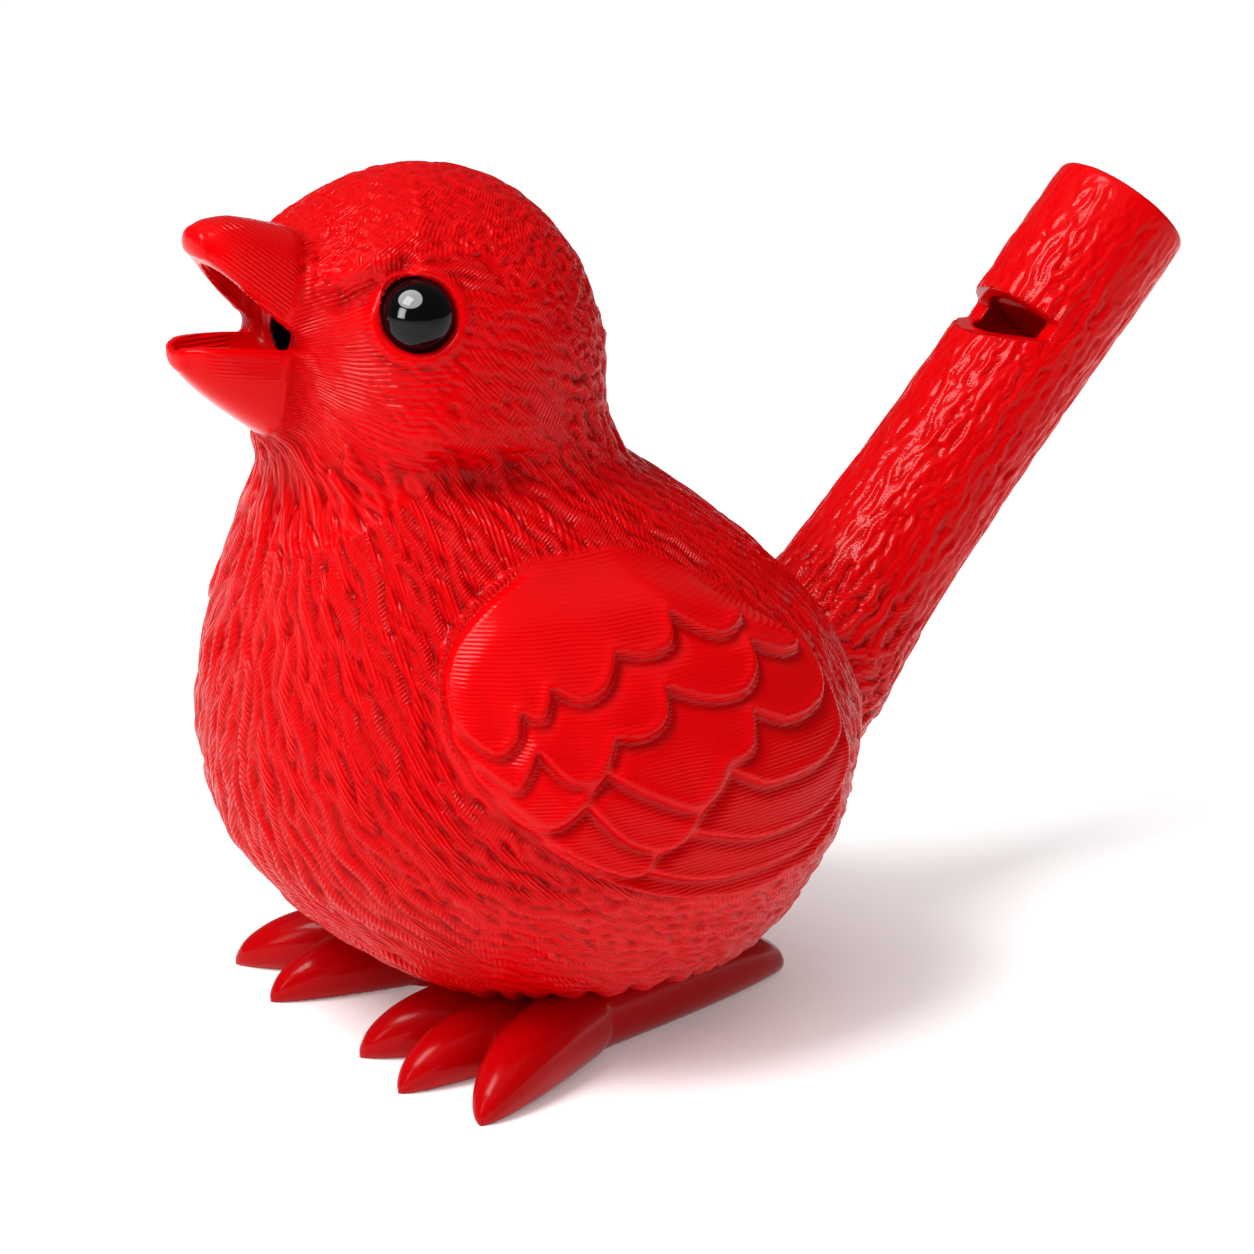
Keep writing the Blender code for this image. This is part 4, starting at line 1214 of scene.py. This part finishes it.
def red_plastic(name, plumage=True, depth=1.0):
    material, tree, shader = new_material(name)
    set_inputs(shader, {
        "Specular IOR Level": 0.09, "Subsurface Weight": 0.06,
        "Subsurface Radius": (1.0, 0.12, 0.1), "Subsurface Scale": 0.0012,
    })
    place = node(tree, "ShaderNodeTexCoord").outputs["Object"]
    # Slow change of tone and gloss, as on moulded plastic
    cloud = noise(tree, place, 90.0, 4.0)
    # A depth below one darkens this copy of the plastic; the feet's darker copy is painted shade
    colour = mixed(tree, cloud, (0.60 * depth, 0.0002, 0.0012, 1.0), (0.66 * depth, 0.0004, 0.0018, 1.0))
    if plumage:
        # Painted shade: the bottom of the grooves is darkened where less light reaches, and the mouth's
        # deep hole is painted nearly black
        groove_shade = attribute(tree, "groove_shade")
        colour = mixed(tree, math_node(tree, "MULTIPLY", groove_shade, 0.85), colour, (0.24, 0.0, 0.0003, 1.0))
        # Painted black shade in the deep hole of the mouth
        colour = mixed(tree, math_node(tree, "SUBTRACT", groove_shade, 1.2), colour, (0.004, 0.0, 0.0, 1.0))
    tree.links.new(colour, shader.inputs["Base Color"])
    gloss_between(tree, shader, cloud, 0.15, 0.20, 0.3, 0.7)
    # Fine pits of the mould
    height = math_node(tree, "MULTIPLY", noise(tree, place, 2600.0), 0.12)
    if plumage:
        height = plumage_height(tree, place, height)
    bump = node(tree, "ShaderNodeBump")
    set_inputs(bump, {"Strength": 1.0, "Distance": BUMP_DISTANCE})
    tree.links.new(height, bump.inputs["Height"])
    tree.links.new(bump.outputs["Normal"], shader.inputs["Normal"])
    return material


def black_plastic(name):
    material, tree, shader = new_material(name)
    set_inputs(shader, {"Base Color": (0.0003, 0.0003, 0.0004, 1.0), "Specular IOR Level": 0.2})
    place = node(tree, "ShaderNodeTexCoord").outputs["Object"]
    gloss_between(tree, shader, noise(tree, place, 700.0), 0.04, 0.09)
    return material


def in_scene(points):
    return (points - [0.0, ORIGIN_Y, 0.0]) * MM


def eye_bead(name, side):
    centre, normal, across, up = eye_frame(side)
    centre = centre - normal * EYE_CENTRE_DEPTH
    back = centre - normal * (EYE_SOCKET_DEPTH - 0.3 - EYE_CENTRE_DEPTH)
    rings = [ring_around(back, across, up, EYE_RADIUS * 0.72, 64)]
    for tilt in np.linspace(-18.0, 87.0, 26):
        turn = math.radians(tilt)
        middle = centre + normal * EYE_RADIUS * math.sin(turn)
        rings.append(ring_around(middle, across, up, EYE_RADIUS * math.cos(turn), 64))
    points, faces = skin_rings(rings, None, centre + normal * EYE_RADIUS)
    item = make_object(name, in_scene(points), faces)
    item.data.shade_smooth()
    return item


def windway_block():
    # A rod with a flat top, its ends chamfered
    radius = BORE_RADIUS - 0.04
    top = BORE_RADIUS - WINDWAY_HEIGHT
    end = WINDOW_LIP - BLOCK_TO_WINDOW
    sections = [
        (BLOCK_RECESS, 0.25), (BLOCK_RECESS + 0.08, 0.1), (BLOCK_RECESS + 0.25, 0.0),
        (end - 0.25, 0.0), (end, 0.25),
    ]
    rings = []
    for distance, inset in sections:
        r = radius - inset
        edge = math.asin(min((top - inset) / r, 0.98))
        turns = [math.pi - edge + (math.pi + 2.0 * edge) * i / 48 for i in range(49)]
        ring = [tail_point(distance, r * math.cos(turn), r * math.sin(turn)) for turn in turns]
        ring += [ring[48] + (ring[0] - ring[48]) * (i / 8.0) for i in range(1, 8)]
        rings.append(np.array(ring))
    points, faces = skin_rings(rings)
    item = make_object("windway_block", in_scene(points), faces)
    item.data.shade_smooth()
    item.data.set_sharp_from_angle(angle=math.radians(32.0))
    return item


def foot(name, side, toes):
    solids = [toe_solid(side, *toe) for toe in toes] + [ankle_solid(side)]
    points, quads = fuse(name, solids)
    points[:, 2] = np.maximum(points[:, 2], 0.0)
    soften = np.where(points[:, 2] > 0.02, 0.5, 0.0)
    points = smoothed(points, quads, soften, 8)
    return smooth_object(name, points, quads, vertex_normals(points, quads), {})


# Stage

def aimed(item, direction):
    item.rotation_euler = Vector(direction).to_track_quat("-Z", "Y").to_euler()
    bpy.context.scene.collection.objects.link(item)
    return item


def light(name, location, target, size, energy, shape="RECTANGLE", size_y=None):
    data = bpy.data.lights.new(name, "AREA")
    data.shape = shape
    data.size = size
    if size_y is not None:
        data.size_y = size_y
    data.energy = energy
    item = bpy.data.objects.new(name, data)
    item.location = location
    return aimed(item, target - location)


def sun(name, direction, strength, angle):
    data = bpy.data.lights.new(name, "SUN")
    data.energy = strength
    data.angle = math.radians(angle)
    return aimed(bpy.data.objects.new(name, data), direction)


def shine_only_on(name, lamps, items):
    group = bpy.data.collections.new(name)
    for item in items:
        group.objects.link(item)
    for lamp in lamps:
        lamp.light_linking.receiver_collection = group


def make_stage():
    size = 3.0
    corners = [(-size, -size, 0.0), (size, -size, 0.0), (size, size, 0.0), (-size, size, 0.0)]
    floor = make_object("floor", np.array(corners), [(0, 1, 2, 3)], outwards=False)
    material, tree, shader = new_material("floor_white")
    set_inputs(shader, {
        "Base Color": (0.8, 0.8, 0.8, 1.0), "Roughness": 0.6, "Specular IOR Level": 0.2,
        "Emission Color": (1.0, 1.0, 1.0, 1.0), "Emission Strength": 0.2,
    })
    floor.data.materials.append(material)
    world = bpy.data.worlds.new("studio")
    world.use_nodes = True
    set_inputs(world.node_tree.nodes["Background"], {"Color": (1.0, 1.0, 1.0, 1.0), "Strength": 0.15})
    bpy.context.scene.world = world
    return floor


def make_lights(floor, red_pieces, beads):
    target = Vector((0.0, 0.0, 0.03))
    light("low_key", target + Vector((0.118, -0.93, 0.34)) * KEY_DISTANCE, target, 0.10, 0.44)
    light("high_key", target + Vector((0.10, -0.58, 0.81)) * KEY_DISTANCE, target, 0.24, 3.7)
    # The sky isn't mirrored by the beads, which show only their two soft boxes
    sky = sun("sky", (-0.12, 0.15, -1.0), 0.8, 90.0)
    shine_only_on("under_sky", [sky], red_pieces + [floor])
    # Evens out the floor without lighting the bird
    floor_light = sun("floor_light", (0.1, 0.2, -1.0), 1.55, 95.0)
    shine_only_on("floor_only", [floor_light], [floor])
    eye = Vector((0.0095, -0.0207 - ORIGIN_Y * MM, 0.054))
    place = eye + Vector((0.10, -0.446, 0.887)) * CATCH_DISTANCE
    large = light("catch_large", place, eye, 0.41, 7.5, shape="ELLIPSE", size_y=0.33)
    place = eye + Vector((0.118, -0.949, 0.292)) * CATCH_DISTANCE
    small = light("catch_small", place, eye, 0.12, 1.2, size_y=0.14)
    shine_only_on("beads", [large, small], beads)


def make_camera():
    data = bpy.data.cameras.new("camera")
    data.sensor_width = 36.0
    data.lens = 114.83
    data.clip_start = 0.01
    item = bpy.data.objects.new("camera", data)
    item.location = Vector((0.22840, -0.15481, 0.11299))
    bpy.context.scene.camera = aimed(item, Vector((0.0, -0.00648, 0.0266)) - item.location)


def build():
    make_camera()
    floor = make_stage()
    bpy.context.scene.view_settings.view_transform = "Standard"
    skin_red = red_plastic("red_plumage")
    plain_red = red_plastic("red_plain", plumage=False)
    # The feet get a darker copy of the red plastic: painted shade, as they lie under the belly
    foot_red_shaded = red_plastic("red_foot_painted_shade", plumage=False, depth=0.64)
    black = black_plastic("black_bead")

    skin, layers = build_skin()
    middle = skin.quads[:, 0]
    angle = skin.angle[middle]
    on_tail = skin.tail[middle]
    in_wing = skin.wing_depth[middle] > 0.0
    regions = np.where(angle > 0.0, 0, 1)
    regions[(skin.height[middle] > HEAD_FROM) & ~on_tail] = 2
    regions[on_tail] = 3
    regions[in_wing & (angle > 0.0)] = 4
    regions[in_wing & (angle < 0.0)] = 5
    names = ["plumage_left", "plumage_right", "head", "tail_tube", "wing_left", "wing_right"]
    pieces = split_skin(skin.points, skin.quads, regions, names, layers)
    for piece in pieces:
        piece.data.materials.append(skin_red)
    for name, side, toes in (("foot_left", 1.0, TOES_LEFT_FOOT), ("foot_right", -1.0, TOES_RIGHT_FOOT)):
        piece = foot(name, side, toes)
        piece.data.materials.append(foot_red_shaded)
        pieces.append(piece)
    for piece in pieces:
        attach(piece, "root")
        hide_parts("body")
    beads = []
    for name, side in (("eye_left", 1.0), ("eye_right", -1.0)):
        bead = eye_bead(name + "_bead", side)
        beads.append(bead)
        bead.data.materials.append(black)
        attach(bead, "root")
        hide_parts(name)
    block = windway_block()
    block.data.materials.append(plain_red)
    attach(block, "root")
    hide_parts("fipple_block")
    make_lights(floor, pieces, beads)


build()
